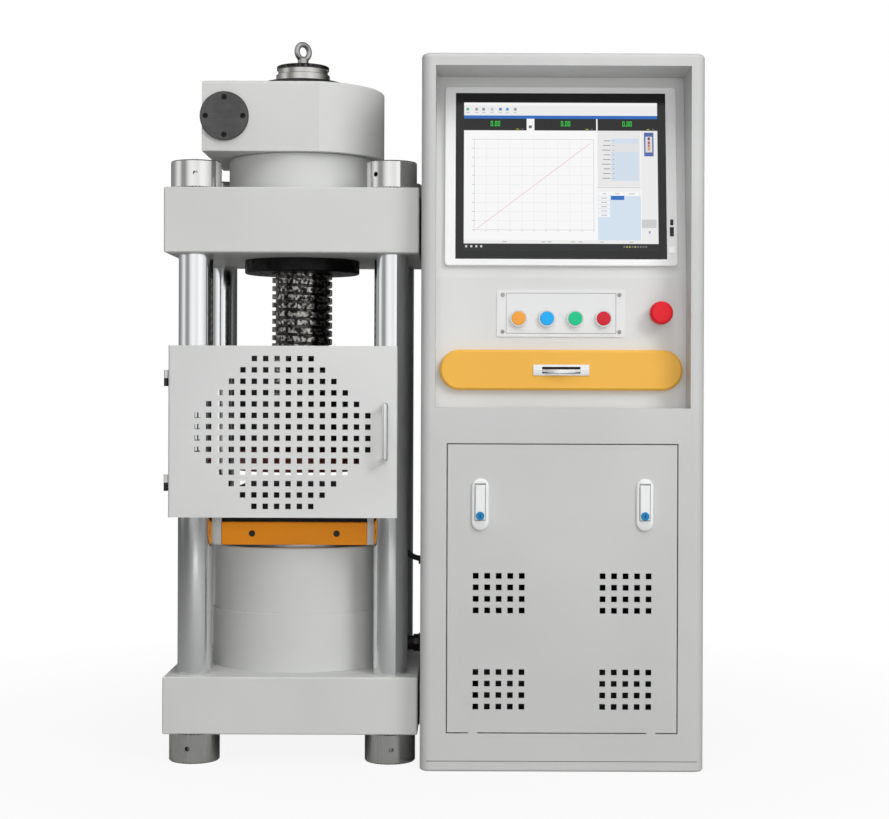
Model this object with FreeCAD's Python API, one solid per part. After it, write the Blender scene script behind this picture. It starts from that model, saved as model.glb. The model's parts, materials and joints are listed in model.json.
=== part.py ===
"""Hydraulic compression testing machine: a four-column load frame beside its control cabinet.

Millimetres, +Z up. The front faces -Y. The origin is on the floor, under the centre of the
whole machine. Every piece is a separate solid and every node is one STEP file in parts/.
"""
import FreeCAD, Part
import math
import os

V = FreeCAD.Vector
X_AXIS = V(1, 0, 0)
Y_AXIS = V(0, 1, 0)
Z_AXIS = V(0, 0, 1)

# Layout of the load frame and the cabinet on the floor
frame_width = 440.0
frame_depth = 420.0
cabinet_width = 482.0
cabinet_depth = 560.0
cabinet_height = 1220.0
stand_gap = 5.0
frame_setback = 50.0
running_gap = 0.05
part_gap = 0.3
edge_chamfer = 2.0

# Base, columns and crosshead
base_thickness = 99.0
crosshead_thickness = 113.0
crosshead_bottom = 883.0
column_radius = 30.0
column_neck_radius = 27.0
column_spacing_x = 342.0
column_spacing_y = 326.0
nut_radius = 44.0
foot_nut_height = 52.0
top_nut_height = 48.0
column_end_inset = 6.0
tommy_hole_radius = 4.3
tommy_hole_depth = 12.0
nut_turns_deg = {"front_left": (-17.0, -3.0), "front_right": (5.0, -37.0),
                 "back_left": (12.0, 20.0), "back_right": (-9.0, 30.0)}

# Hydraulic cylinder and ram
barrel_radius = 160.0
barrel_height = 102.0
collar_radius = 157.0
collar_height = 115.0
cylinder_floor = 34.0
piston_radius = 125.0
oil_film = 4.0
seal_width = 6.0
seal_height = 12.0
seal_depth = 16.0
ram_rise_at_rest = 5.0

# Lower platen with its seat and front strip
seat_width = 292.0
seat_depth = 280.0
seat_thickness = 54.0
seat_edge_radius = 8.0
strip_width = 257.0
strip_height = 40.0
strip_thickness = 10.0
strip_pocket_depth = 12.0
strip_hole_spacing = 149.0
strip_hole_radius = 4.5
platen_width = 220.0
platen_depth = 220.0
lower_platen_thickness = 46.0

# Upper platen on its spherical seat
platen_daylight = 26.0
upper_platen_radius = 115.0
upper_platen_thickness = 35.0
ball_radius = 60.0
liner_thickness = 5.75
tilt_room = 7.0
ball_seat_radius = 77.5
ball_seat_height = 87.0
spigot_radius = 35.0
spigot_length = 40.0

# Lead screw, guide flange and eye bolt
screw_radius = 55.0
screw_root_radius = 49.5
screw_top = 1240.0
screw_top_chamfer = 4.0
flange_radius = 105.0
flange_thickness = 24.0
flange_clearance = 1.0
flange_screw_circle = 80.0
eye_ring_radius = 13.5
eye_wire_radius = 5.0
eye_collar_radius = 10.0
eye_collar_height = 15.0
eye_shank_radius = 4.0
eye_shank_length = 14.0
eye_turn_deg = 40.0

# Worm gearbox and its motor
pedestal_radius = 133.5
pedestal_height = 71.0
pedestal_bore_radius = 70.0
gearbox_height = 124.0
gearbox_wall = 10.0
gearbox_radius = 150.0
gearbox_half_depth = 144.0
gearbox_left_reach = 165.0
gearbox_edge_radius = 5.0
worm_offset = 125.0
worm_drop = 1.0
worm_radius = 20.0
worm_shaft_radius = 12.5
worm_tooth_depth = 5.0
worm_tooth_pitch = 15.7
worm_bearing_radius = 26.0
worm_bearing_width = 15.0
wheel_radius = 104.0
wheel_tooth_depth = 9.0
wheel_width = 34.0
wheel_teeth = 40
wheel_hub_radius = 68.0
wheel_hub_height = 84.0
thrust_bearing_height = 10.0
end_cap_radius = 43.0
end_cap_thickness = 6.0
end_cap_screw_circle = 33.0
cap_screw_radius = 5.0
cap_screw_socket_radius = 2.6
cap_screw_length = 9.0
dust_ring_radius = 80.0
dust_ring_thickness = 17.0
dust_ring_chamfer = 6.0
motor_length = 193.0
motor_radius = 62.0
motor_flange_radius = 52.5
motor_flange_thickness = 9.0
motor_fin_count = 24
motor_fin_height = 7.0
motor_fin_width = 3.0
motor_cowl_length = 48.0
terminal_box_width = 80.0
terminal_box_height = 34.0

# Guard door on the front columns
door_width = 393.0
door_height = 295.0
door_bottom = 427.0
door_depth = 18.0
door_sheet = 2.0
door_ahead = 15.0
door_left_overhang = 11.0
door_bend_radius = 4.0
hole_size = 9.5
hole_pitch = 19.5
hole_rows = 14
hole_columns = 16
hole_corner_steps = 5
hole_field_rise = 3.5
hinge_radius = 4.0
hinge_offset = 4.6
hinge_pin_radius = 2.0
hinge_height = 28.0
hinge_centers = (486.0, 666.0)
clamp_thickness = 7.0
clamp_height = 22.0
hinge_root_gap = 3.0
catch_center = 575.0
catch_width = 28.0
catch_from_column_edge = 25.0
rear_guard_bottom = 503.0
rear_lug_width = 36.0
rear_clamp_centers = (530.0, 690.0)
handle_length = 100.0
handle_radius = 5.0
handle_stand_off = 32.0
handle_from_edge = 20.0
handle_center = 575.0

# Hose and sensor lead between the frame and the cabinet
hose_radius = 13.0
hose_height = 182.0
ferrule_radius = 16.0
ferrule_length = 18.0
sensor_length = 20.0
sensor_width = 24.0
sensor_height = 34.0
sensor_top = 366.0
lead_radius = 5.0
gland_radius = 8.0
gland_length = 9.0
gland_height = 334.5

# Cabinet sheet metal
sheet = 1.5
plinth_height = 16.0
front_edge_radius = 18.0
top_edge_radius = 8.0
plinth_edge_radius = 5.0
stile_width = 24.0
recess_bottom = 617.0
top_rail = 22.0
console_depth = 67.0
bend_height = 842.0
console_lean_deg = 8.0
door_opening_bottom = 65.0
lower_door_margin = 46.5
lower_door_height = 488.0
lower_door_gap = 2.0
lower_door_depth = 18.0
door_tab_width = 16.0
door_tab_depth = 8.0
door_tab_from_edge = 43.5
opening_flange = 14.0
vent_size = 9.8
vent_pitch = 19.5
vent_columns = 5
vent_rows = 4
vent_group_from_edge = 87.0
vent_group_heights = (140.0, 303.0)

# Lock plates and levers
lock_width = 29.0
lock_height = 88.0
lock_proud = 5.0
lock_from_edge = 55.0
lock_center = 453.5
lever_width = 17.0
lever_length = 56.0
lever_thickness = 6.0
lever_proud = 9.0
lever_pivot_depth = 2.8
lever_pivot_radius = 1.2
lever_knuckle_radius = 2.4
lever_swing_room = 6.0

# Monitor
monitor_side_gap = 15.0
monitor_height = 320.0
monitor_from_bend = 180.0
bezel_proud = 8.0
bezel_corner = 6.0
bezel_chamfer = 1.0
bezel_side = 18.5
bezel_rail = 11.5
screen_inset = 1.5
screen_thickness = 4.0
monitor_body_side = 16.0
monitor_body_rail = 14.0
monitor_body_depth = 52.0
monitor_body_wall = 2.0
power_button_radius = 7.0
power_button_from_side = 10.0
power_button_from_bottom = 29.0
power_button_travel = 1.5

# Button plate, push buttons and emergency stop
plate_width = 222.0
plate_height = 81.5
plate_center_height = 780.5
plate_thickness = 1.5
button_pitch = 49.0
button_height = 771.5
button_ring_radius = 14.5
button_ring_height = 6.5
button_cap_radius = 12.0
button_cap_clearance = 0.4
button_cap_thickness = 5.0
button_proud = 2.0
button_travel = 3.0
button_stem_radius = 8.0
barrel_outer_radius = 11.0
barrel_length = 40.0
contact_block_size = 28.0
contact_block_depth = 22.0
estop_from_side = 45.5
estop_height = 781.0
estop_radius = 20.0
estop_head_height = 16.0
estop_travel = 4.0
estop_collar_radius = 14.0
estop_collar_height = 10.0

# Keyboard drawer
drawer_side_gap = 7.0
drawer_front_height = 70.0
drawer_front_thickness = 14.0
drawer_bevel = 4.0
drawer_center_height = 682.0
tray_from_front_end = 27.0
tray_height = 42.0
tray_depth = 330.0
tray_wall = 2.0
rail_size = 8.0
tray_slot_clearance = 3.0
runner_thickness = 2.0
pull_width = 97.0
pull_height = 19.0
pull_thickness = 2.0
bow_length = 66.0
bow_radius = 3.0
bow_stand_off = 12.0

# Inside the cabinet
tank_side_gap = 30.0
valve_space = 99.0
tank_depth = 320.0
tank_height = 225.0
tank_wall = 3.0
tank_lid = 4.0
tank_lid_overhang = 8.0
tank_front_gap = 90.0
pump_radius = 62.0
pump_height = 170.0
valve_block_height = 110.0
valve_block_depth = 90.0
rear_slot_width = 6.0
rear_slot_length = 70.0
rear_slot_count = 12
rear_slot_pitch = 16.0
rear_slot_heights = (300.0, 900.0)
filler_radius = 22.0
filler_height = 38.0
filler_inset = 50.0
valve_radius = 14.0
valve_height = 50.0
valve_spacing = 44.0

# Places that follow from the sizes above
left_side = -(frame_width + stand_gap + cabinet_width) / 2.0
right_side = -left_side
axis_x = left_side + frame_width / 2.0
cabinet_x = right_side - cabinet_width / 2.0
cabinet_left = right_side - cabinet_width
rear_reach = max(cabinet_depth, frame_setback + frame_depth / 2.0 + gearbox_half_depth + motor_length)
front_plane = -(rear_reach - lever_proud) / 2.0
frame_front = front_plane + frame_setback
axis_y = frame_front + frame_depth / 2.0
base_bottom = foot_nut_height
base_top = base_bottom + base_thickness
crosshead_top = crosshead_bottom + crosshead_thickness
barrel_top = base_top + barrel_height
collar_top = barrel_top + collar_height
seat_bottom = collar_top + ram_rise_at_rest
seat_top = seat_bottom + seat_thickness
lower_platen_top = seat_top + lower_platen_thickness
upper_platen_bottom = lower_platen_top + platen_daylight
upper_platen_top = upper_platen_bottom + upper_platen_thickness
ball_seat_bottom = upper_platen_top + tilt_room
ball_seat_top = ball_seat_bottom + ball_seat_height
gearbox_bottom = crosshead_top + pedestal_height
gearbox_top = gearbox_bottom + gearbox_height
worm_height = (gearbox_bottom + gearbox_top) / 2.0 - worm_drop
console_front = front_plane + console_depth
recess_left = cabinet_left + stile_width
recess_right = right_side - stile_width
recess_top = cabinet_height - top_rail
recess_width = recess_right - recess_left
monitor_width = recess_width - 2.0 * monitor_side_gap
screen_width = monitor_width - 2.0 * bezel_side
screen_height = monitor_height - 2.0 * bezel_rail
monitor_body_width = monitor_width - 2.0 * monitor_body_side
monitor_body_height = monitor_height - 2.0 * monitor_body_rail
power_button_offset = monitor_width / 2.0 - power_button_from_side
power_button_drop = monitor_height / 2.0 - power_button_from_bottom
estop_offset = recess_width / 2.0 - estop_from_side
drawer_front_width = recess_width - 2.0 * drawer_side_gap
tray_half_width = drawer_front_width / 2.0 - tray_from_front_end
lower_door_width = cabinet_width - 2.0 * lower_door_margin
door_tab_offset = lower_door_width / 2.0 - door_tab_from_edge
vent_group_offset = lower_door_width / 2.0 - vent_group_from_edge
lock_offset = lower_door_width / 2.0 - lock_from_edge
tank_width = cabinet_width - 2.0 * sheet - tank_side_gap - valve_space
lean = math.radians(console_lean_deg)
console_top_depth = console_depth + (recess_top - bend_height) * math.tan(lean)
lower_door_bottom = door_opening_bottom + lower_door_gap
door_left = left_side + door_left_overhang
door_front = frame_front - door_ahead
left_column_x = axis_x - column_spacing_x / 2.0
right_column_x = axis_x + column_spacing_x / 2.0
front_column_y = axis_y - column_spacing_y / 2.0
back_column_y = axis_y + column_spacing_y / 2.0


def box(x0, y0, z0, x1, y1, z1):
    """A box between two corners."""
    return Part.makeBox(x1 - x0, y1 - y0, z1 - z0, V(x0, y0, z0))


def rod(radius, start, end):
    """A round bar between two points."""
    direction = end - start
    return Part.makeCylinder(radius, direction.Length, start, direction)


def disc(radius, x, y, z0, z1):
    """An upright round disc or bar."""
    return Part.makeCylinder(radius, z1 - z0, V(x, y, z0), Z_AXIS)


def ring(outer, inner, x, y, z0, z1):
    """An upright ring."""
    return disc(outer, x, y, z0, z1).cut(disc(inner, x, y, z0 - 1.0, z1 + 1.0))


def stadium(width, height, thickness, x, y, z):
    """A plate with round ends that lies along X, its front at y and its centre at x, z."""
    radius = height / 2.0
    half = width / 2.0 - radius
    plate = box(x - half, y, z - radius, x + half, y + thickness, z + radius)
    for side in (-1, 1):
        end = V(x + side * half, y, z)
        plate = plate.fuse(rod(radius, end, end + V(0, thickness, 0)))
    return plate.removeSplitter()


def upright_stadium(width, height, thickness, x, y, z):
    """The same plate, standing on end."""
    plate = stadium(height, width, thickness, x, y, z)
    plate.rotate(V(x, y, z), Y_AXIS, 90)
    return plate


def edges_along(shape, axis, test):
    """The straight edges of a shape that run along an axis and whose middle passes a test."""
    chosen = []
    for edge in shape.Edges:
        if not isinstance(edge.Curve, Part.Line):
            continue
        if abs(edge.tangentAt(edge.FirstParameter).dot(axis)) > 0.999 and test(edge.CenterOfMass):
            chosen.append(edge)
    return chosen


def any_place(point):
    """Accepts every edge."""
    return True


def column_places():
    """The name and centre of each column."""
    return {"front_left": (left_column_x, front_column_y), "front_right": (right_column_x, front_column_y),
            "back_left": (left_column_x, back_column_y), "back_right": (right_column_x, back_column_y)}


def beam(z0, z1):
    """The block of the base or the crosshead, with the four column bores."""
    block = box(axis_x - frame_width / 2.0, axis_y - frame_depth / 2.0, z0,
                axis_x + frame_width / 2.0, axis_y + frame_depth / 2.0, z1)
    block = block.makeChamfer(edge_chamfer, block.Edges)
    for x, y in column_places().values():
        block = block.cut(disc(column_neck_radius, x, y, z0 - 1.0, z1 + 1.0))
    return block


def crosshead():
    """The upper beam, bored for the lead screw."""
    return beam(crosshead_bottom, crosshead_top).cut(
        disc(screw_radius + flange_clearance, axis_x, axis_y, crosshead_bottom - 1.0, crosshead_top + 1.0))


def columns():
    """Four polished columns with necks that pass through both beams into the nuts."""
    solids = []
    for x, y in column_places().values():
        column = disc(column_neck_radius, x, y, column_end_inset,
                      crosshead_top + top_nut_height - column_end_inset)
        solids.append(column.fuse(disc(column_radius, x, y, base_top, crosshead_bottom)).removeSplitter())
    return solids


def round_nut(x, y, z0, z1, turn_deg):
    """A round column nut with two opposite tommy-bar holes."""
    nut = disc(nut_radius, x, y, z0, z1)
    rims = [edge for edge in nut.Edges if isinstance(edge.Curve, Part.Circle)]
    nut = nut.makeChamfer(edge_chamfer, rims)
    nut = nut.cut(disc(column_neck_radius, x, y, z0 - 1.0, z1 + 1.0))
    middle = V(x, y, (z0 + z1) / 2.0)
    for turn in (turn_deg, turn_deg + 180.0):
        outward = V(math.sin(math.radians(turn)), -math.cos(math.radians(turn)), 0)
        nut = nut.cut(rod(tommy_hole_radius, middle + outward * (nut_radius - tommy_hole_depth),
                          middle + outward * (nut_radius + 1.0)))
    return nut


def column_nuts():
    """Four foot nuts under the base and four nuts on the crosshead."""
    solids = []
    for name, (x, y) in column_places().items():
        foot_turn, top_turn = nut_turns_deg[name]
        solids.append(round_nut(x, y, 0.0, foot_nut_height, foot_turn))
        solids.append(round_nut(x, y, crosshead_top, crosshead_top + top_nut_height, top_turn))
    return solids


def hose_port():
    """The drilling in the barrel that the hose fitting faces."""
    start = V(axis_x + piston_radius - 1.0, axis_y, hose_height)
    return rod(hose_radius / 2.0, start, V(axis_x + barrel_radius + 1.0, axis_y, hose_height))


def cylinder_barrel():
    """The lower stage of the cylinder, closed at the bottom."""
    barrel = disc(barrel_radius, axis_x, axis_y, base_top, barrel_top)
    barrel = barrel.cut(disc(piston_radius + running_gap, axis_x, axis_y, base_top + cylinder_floor,
                             barrel_top + 1.0))
    flat = box(axis_x + barrel_radius - 4.0, axis_y - ferrule_radius - 4.0,
               hose_height - ferrule_radius - 4.0,
               axis_x + barrel_radius + 1.0, axis_y + ferrule_radius + 4.0,
               hose_height + ferrule_radius + 4.0)
    return barrel.cut(flat).cut(hose_port())


def cylinder_collar():
    """The upper stage, which guides the piston and holds its seal."""
    collar = disc(collar_radius, axis_x, axis_y, barrel_top, collar_top)
    rims = [edge for edge in collar.Edges if isinstance(edge.Curve, Part.Circle)
            and edge.CenterOfMass.z > barrel_top + 1]
    collar = collar.makeChamfer(edge_chamfer, rims)
    collar = collar.cut(disc(piston_radius + running_gap, axis_x, axis_y, barrel_top - 1.0, collar_top + 1.0))
    return collar.cut(disc(piston_radius + seal_width, axis_x, axis_y, collar_top - seal_depth - seal_height,
                           collar_top - seal_depth))


def piston_seal():
    """The ring seal in the collar's groove."""
    return ring(piston_radius + seal_width, piston_radius + running_gap, axis_x, axis_y,
                collar_top - seal_depth - seal_height, collar_top - seal_depth)


def piston():
    """The ram."""
    return disc(piston_radius, axis_x, axis_y, base_top + cylinder_floor + oil_film, seat_bottom)


def platen_seat():
    """The painted block on the ram: rounded lower edges, and a pocket for the front strip."""
    front = axis_y - seat_depth / 2.0
    seat = box(axis_x - seat_width / 2.0, front, seat_bottom, axis_x + seat_width / 2.0,
               axis_y + seat_depth / 2.0, seat_top)
    lower = edges_along(seat, Y_AXIS, lambda point: point.z < seat_bottom + 1.0)
    seat = seat.makeFillet(seat_edge_radius, lower)
    upright = edges_along(seat, Z_AXIS, any_place)
    seat = seat.makeChamfer(edge_chamfer, upright)
    pocket = box(axis_x - strip_width / 2.0 - part_gap, front - 1.0, seat_bottom - 1.0,
                 axis_x + strip_width / 2.0 + part_gap, front + strip_pocket_depth, seat_top + 1.0)
    seat = seat.cut(pocket)
    for side in (-1, 1):
        start = V(axis_x + side * strip_hole_spacing / 2.0, front + strip_pocket_depth - 1.0,
                  seat_bottom + strip_height / 2.0)
        seat = seat.cut(rod(strip_hole_radius, start, start + V(0, 16.0, 0)))
    return seat


def front_strip():
    """The orange strip across the front of the seat, with two screw holes."""
    back = axis_y - seat_depth / 2.0 + strip_pocket_depth
    strip = box(axis_x - strip_width / 2.0, back - strip_thickness, seat_bottom, axis_x + strip_width / 2.0,
                back, seat_bottom + strip_height)
    strip = strip.makeChamfer(1.0, strip.Edges)
    for side in (-1, 1):
        start = V(axis_x + side * strip_hole_spacing / 2.0, back - strip_thickness - 1.0,
                  seat_bottom + strip_height / 2.0)
        strip = strip.cut(rod(strip_hole_radius, start, start + V(0, strip_thickness + 2.0, 0)))
    return strip


def lower_platen():
    """The hardened plate that carries the specimen."""
    plate = box(axis_x - platen_width / 2.0, axis_y - platen_depth / 2.0, seat_top,
                axis_x + platen_width / 2.0,
                axis_y + platen_depth / 2.0, lower_platen_top)
    return plate.makeChamfer(edge_chamfer, plate.Edges)


def ball(radius):
    """A sphere about the point that the upper platen tilts on."""
    return Part.makeSphere(radius, V(axis_x, axis_y, upper_platen_bottom))


def above(shape, z):
    """The part of a round piece that lies above a height."""
    return shape.common(disc(3.0 * ball_seat_radius, axis_x, axis_y, z, z + 10.0 * ball_radius))


def upper_platen():
    """The round tilting platen with its ball-shaped back."""
    plate = disc(upper_platen_radius, axis_x, axis_y, upper_platen_bottom, upper_platen_top)
    plate = plate.makeChamfer(edge_chamfer,
                              [edge for edge in plate.Edges if isinstance(edge.Curve, Part.Circle)])
    return plate.fuse(above(ball(ball_radius), upper_platen_top - 1.0)).removeSplitter()


def seat_liner():
    """The bronze liner between the ball and its seat."""
    shell = ball(ball_radius + part_gap + liner_thickness).cut(ball(ball_radius + part_gap))
    return above(shell, ball_seat_bottom + 2.0)


def ball_seat():
    """The holder under the lead screw, hollowed for the ball and its liner."""
    seat = disc(ball_seat_radius, axis_x, axis_y, ball_seat_bottom, ball_seat_top)
    seat = seat.makeChamfer(edge_chamfer,
                            [edge for edge in seat.Edges if isinstance(edge.Curve, Part.Circle)])
    seat = seat.cut(ball(ball_radius + 2.0 * part_gap + liner_thickness))
    return seat.cut(disc(spigot_radius, axis_x, axis_y, ball_seat_top - spigot_length, ball_seat_top + 1.0))


def lead_screw():
    """The screw: its crest cylinder, the spigot in the ball seat and the tapped top end."""
    screw = disc(screw_radius, axis_x, axis_y, ball_seat_top, screw_top)
    top_rim = [edge for edge in screw.Edges if isinstance(edge.Curve, Part.Circle)
               and edge.CenterOfMass.z > screw_top - 1]
    screw = screw.makeChamfer(screw_top_chamfer, top_rim)
    screw = screw.fuse(disc(spigot_radius, axis_x, axis_y, ball_seat_top - spigot_length, ball_seat_top))
    return screw.removeSplitter().cut(disc(eye_shank_radius, axis_x, axis_y, screw_top - eye_shank_length,
                                           screw_top + 1.0))


def eye_bolt():
    """The lifting eye: ring, collar and shank."""
    ring_center = V(axis_x, axis_y, screw_top + eye_collar_height + eye_ring_radius)
    turn = math.radians(eye_turn_deg)
    eye = Part.makeTorus(eye_ring_radius, eye_wire_radius, ring_center, V(math.sin(turn), -math.cos(turn), 0))
    eye = eye.fuse(disc(eye_collar_radius, axis_x, axis_y, screw_top, screw_top + eye_collar_height))
    shank = disc(eye_shank_radius, axis_x, axis_y, screw_top - eye_shank_length, screw_top + 1.0)
    return eye.fuse(shank).removeSplitter()


def flange_screw_places():
    """The six screws of the guide flange."""
    places = []
    for index in range(6):
        angle = math.radians(60.0 * index + 30.0)
        places.append((axis_x + flange_screw_circle * math.cos(angle),
                       axis_y + flange_screw_circle * math.sin(angle)))
    return places


def guide_flange():
    """The black flange under the crosshead that guides the screw."""
    bottom = crosshead_bottom - flange_thickness
    flange = disc(flange_radius, axis_x, axis_y, bottom, crosshead_bottom)
    low = [edge for edge in flange.Edges if isinstance(edge.Curve, Part.Circle)
           and edge.CenterOfMass.z < bottom + 1]
    flange = flange.makeChamfer(edge_chamfer, low)
    flange = flange.cut(disc(screw_radius + flange_clearance, axis_x, axis_y, bottom - 1.0,
                             crosshead_bottom + 1.0))
    for x, y in flange_screw_places():
        flange = flange.cut(disc(cap_screw_radius, x, y, bottom - 1.0, bottom + cap_screw_length))
    return flange


def gearbox_pedestal():
    """The round foot of the gearbox on the crosshead."""
    foot = disc(pedestal_radius, axis_x, axis_y, crosshead_top, gearbox_bottom)
    rim = [edge for edge in foot.Edges if isinstance(edge.Curve, Part.Circle)
           and edge.CenterOfMass.z > gearbox_bottom - 1]
    foot = foot.makeFillet(gearbox_edge_radius, rim)
    return foot.cut(disc(pedestal_bore_radius, axis_x, axis_y, crosshead_top - 1.0, gearbox_bottom + 1.0))


def gearbox_outline(inset, z0, z1):
    """The gearbox in plan: a round body with the worm's block at its left."""
    radius = gearbox_radius - inset
    half = gearbox_half_depth - inset
    body = disc(radius, axis_x, axis_y, z0, z1)
    slab = box(axis_x - gearbox_left_reach + inset, axis_y - half, z0, axis_x + gearbox_radius,
               axis_y + half, z1)
    worm_side = box(axis_x - gearbox_left_reach + inset, axis_y - half, z0, axis_x, axis_y + half, z1)
    flat_reach = math.sqrt(radius * radius - half * half)
    middle = box(axis_x - 1.0, axis_y - half, z0, axis_x + flat_reach, axis_y + half, z1)
    return body.common(slab).fuse(worm_side).fuse(middle).removeSplitter()


def gearbox_housing():
    """The hollow casting of the worm gearbox, bored for the screw and the worm shaft."""
    body = gearbox_outline(0.0, gearbox_bottom, gearbox_top)
    rims = [edge for edge in body.Edges if edge.CenterOfMass.z > gearbox_top - 0.5]
    body = body.makeFillet(gearbox_edge_radius, rims)
    body = body.cut(gearbox_outline(gearbox_wall, gearbox_bottom + gearbox_wall, gearbox_top - gearbox_wall))
    body = body.cut(disc(pedestal_bore_radius, axis_x, axis_y, gearbox_bottom - 1.0, gearbox_top + 1.0))
    worm_x = axis_x - worm_offset
    bore = rod(worm_bearing_radius, V(worm_x, axis_y - gearbox_half_depth - 1.0, worm_height),
               V(worm_x, axis_y + gearbox_half_depth + 1.0, worm_height))
    return body.cut(bore)


def bearing_step():
    """How far a worm bearing reaches in from the face of the gearbox."""
    return gearbox_half_depth - worm_bearing_width


def gearbox_bearings():
    """Two thrust bearings of the wheel and two bearings of the worm shaft."""
    floor = gearbox_bottom + gearbox_wall
    ceiling = gearbox_top - gearbox_wall
    solids = [ring(wheel_hub_radius + 8.0, screw_radius + 3.0, axis_x, axis_y, floor,
                   floor + thrust_bearing_height),
              ring(wheel_hub_radius + 8.0, screw_radius + 3.0, axis_x, axis_y,
                   ceiling - thrust_bearing_height, ceiling)]
    worm_x = axis_x - worm_offset
    for side in (-1, 1):
        inner = V(worm_x, axis_y + side * bearing_step(), worm_height)
        outer = V(worm_x, axis_y + side * gearbox_half_depth, worm_height)
        bore = rod(worm_shaft_radius + running_gap, inner, outer)
        solids.append(rod(worm_bearing_radius, inner, outer).cut(bore))
    return solids


def worm_wheel():
    """The bronze wheel with the nut of the lead screw as its hub."""
    middle = worm_height
    wheel = disc(wheel_radius, axis_x, axis_y, middle - wheel_width / 2.0, middle + wheel_width / 2.0)
    gap = math.pi * wheel_radius / wheel_teeth
    cutter = box(axis_x + wheel_radius - wheel_tooth_depth, axis_y - gap / 2.0, middle - wheel_width,
                 axis_x + wheel_radius + 2.0, axis_y + gap / 2.0, middle + wheel_width)
    cutters = []
    for index in range(wheel_teeth):
        turned = cutter.copy()
        turned.rotate(V(axis_x, axis_y, middle), Z_AXIS, index * 360.0 / wheel_teeth)
        cutters.append(turned)
    wheel = wheel.cut(Part.makeCompound(cutters))
    hub_bottom = gearbox_bottom + gearbox_wall + thrust_bearing_height + part_gap
    hub = disc(wheel_hub_radius, axis_x, axis_y, hub_bottom,
               gearbox_top - gearbox_wall - thrust_bearing_height - part_gap)
    wheel = wheel.fuse(hub)
    return wheel.cut(disc(screw_radius + running_gap, axis_x, axis_y, gearbox_bottom,
                          gearbox_top)).removeSplitter()


def worm_shaft():
    """The worm on its shaft, between the end cap and the motor."""
    worm_x = axis_x - worm_offset
    front = axis_y - gearbox_half_depth + part_gap
    back = axis_y + gearbox_half_depth + motor_flange_thickness
    profile = [(0.0, front), (worm_shaft_radius, front)]
    worm_half = wheel_radius / 2.0
    profile.append((worm_shaft_radius, axis_y - worm_half))
    turns = int(2.0 * worm_half / worm_tooth_pitch)
    for index in range(turns):
        start = axis_y - worm_half + index * worm_tooth_pitch
        profile.append((worm_radius - worm_tooth_depth, start))
        profile.append((worm_radius, start + worm_tooth_pitch * 0.3))
        profile.append((worm_radius, start + worm_tooth_pitch * 0.6))
        profile.append((worm_radius - worm_tooth_depth, start + worm_tooth_pitch * 0.9))
    end = axis_y - worm_half + turns * worm_tooth_pitch
    profile.append((worm_shaft_radius, end))
    profile.append((worm_shaft_radius, back))
    profile.append((0.0, back))
    points = [V(worm_x + radius, y, worm_height) for radius, y in profile]
    face = Part.Face(Part.makePolygon(points + [points[0]]))
    return face.revolve(V(worm_x, 0, worm_height), Y_AXIS, 360)


def cap_screw_places():
    """The four screws of the worm end cap."""
    places = []
    for index in range(4):
        angle = math.radians(90.0 * index)
        places.append((axis_x - worm_offset + end_cap_screw_circle * math.cos(angle),
                       worm_height + end_cap_screw_circle * math.sin(angle)))
    return places


def gearbox_caps():
    """The round end cap of the worm and the dust ring on top of the gearbox."""
    face = axis_y - gearbox_half_depth
    worm_x = axis_x - worm_offset
    cap = rod(end_cap_radius, V(worm_x, face - end_cap_thickness, worm_height), V(worm_x, face, worm_height))
    outer = [edge for edge in cap.Edges if isinstance(edge.Curve, Part.Circle)
             and edge.CenterOfMass.y < face - 1]
    cap = cap.makeChamfer(1.0, outer)
    for x, z in cap_screw_places():
        cap = cap.cut(rod(cap_screw_radius, V(x, face - end_cap_thickness - 1.0, z), V(x, face + 1.0, z)))
    dust = disc(dust_ring_radius, axis_x, axis_y, gearbox_top, gearbox_top + dust_ring_thickness)
    upper = [edge for edge in dust.Edges if isinstance(edge.Curve, Part.Circle)
             and edge.CenterOfMass.z > gearbox_top + 1]
    dust = dust.makeChamfer(dust_ring_chamfer, upper)
    bore = disc(screw_radius + flange_clearance, axis_x, axis_y, gearbox_top - 1.0,
                gearbox_top + dust_ring_thickness + 1.0)
    return [cap, dust.cut(bore)]


def socket_screw(tip, head, socket_depth):
    """A socket screw from its tip to its head, with a hexagon socket."""
    screw = rod(cap_screw_radius, tip, head)
    outward = (head - tip).normalize()
    corner = X_AXIS if abs(outward.x) < 0.5 else Y_AXIS
    points = []
    for index in range(6):
        turn = FreeCAD.Rotation(outward, 60.0 * index)
        points.append(head + turn.multVec(corner) * cap_screw_socket_radius)
    socket = Part.Face(Part.makePolygon(points + [points[0]])).extrude(outward * -socket_depth)
    return screw.cut(socket)


def gearbox_screws():
    """The end cap's four screws and the guide flange's six."""
    solids = []
    face = axis_y - gearbox_half_depth
    for x, z in cap_screw_places():
        solids.append(socket_screw(V(x, face, z), V(x, face - end_cap_thickness + 0.5, z), 3.0))
    bottom = crosshead_bottom - flange_thickness
    for x, y in flange_screw_places():
        solids.append(socket_screw(V(x, y, bottom + cap_screw_length), V(x, y, bottom + 0.5), 3.0))
    return solids


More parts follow.
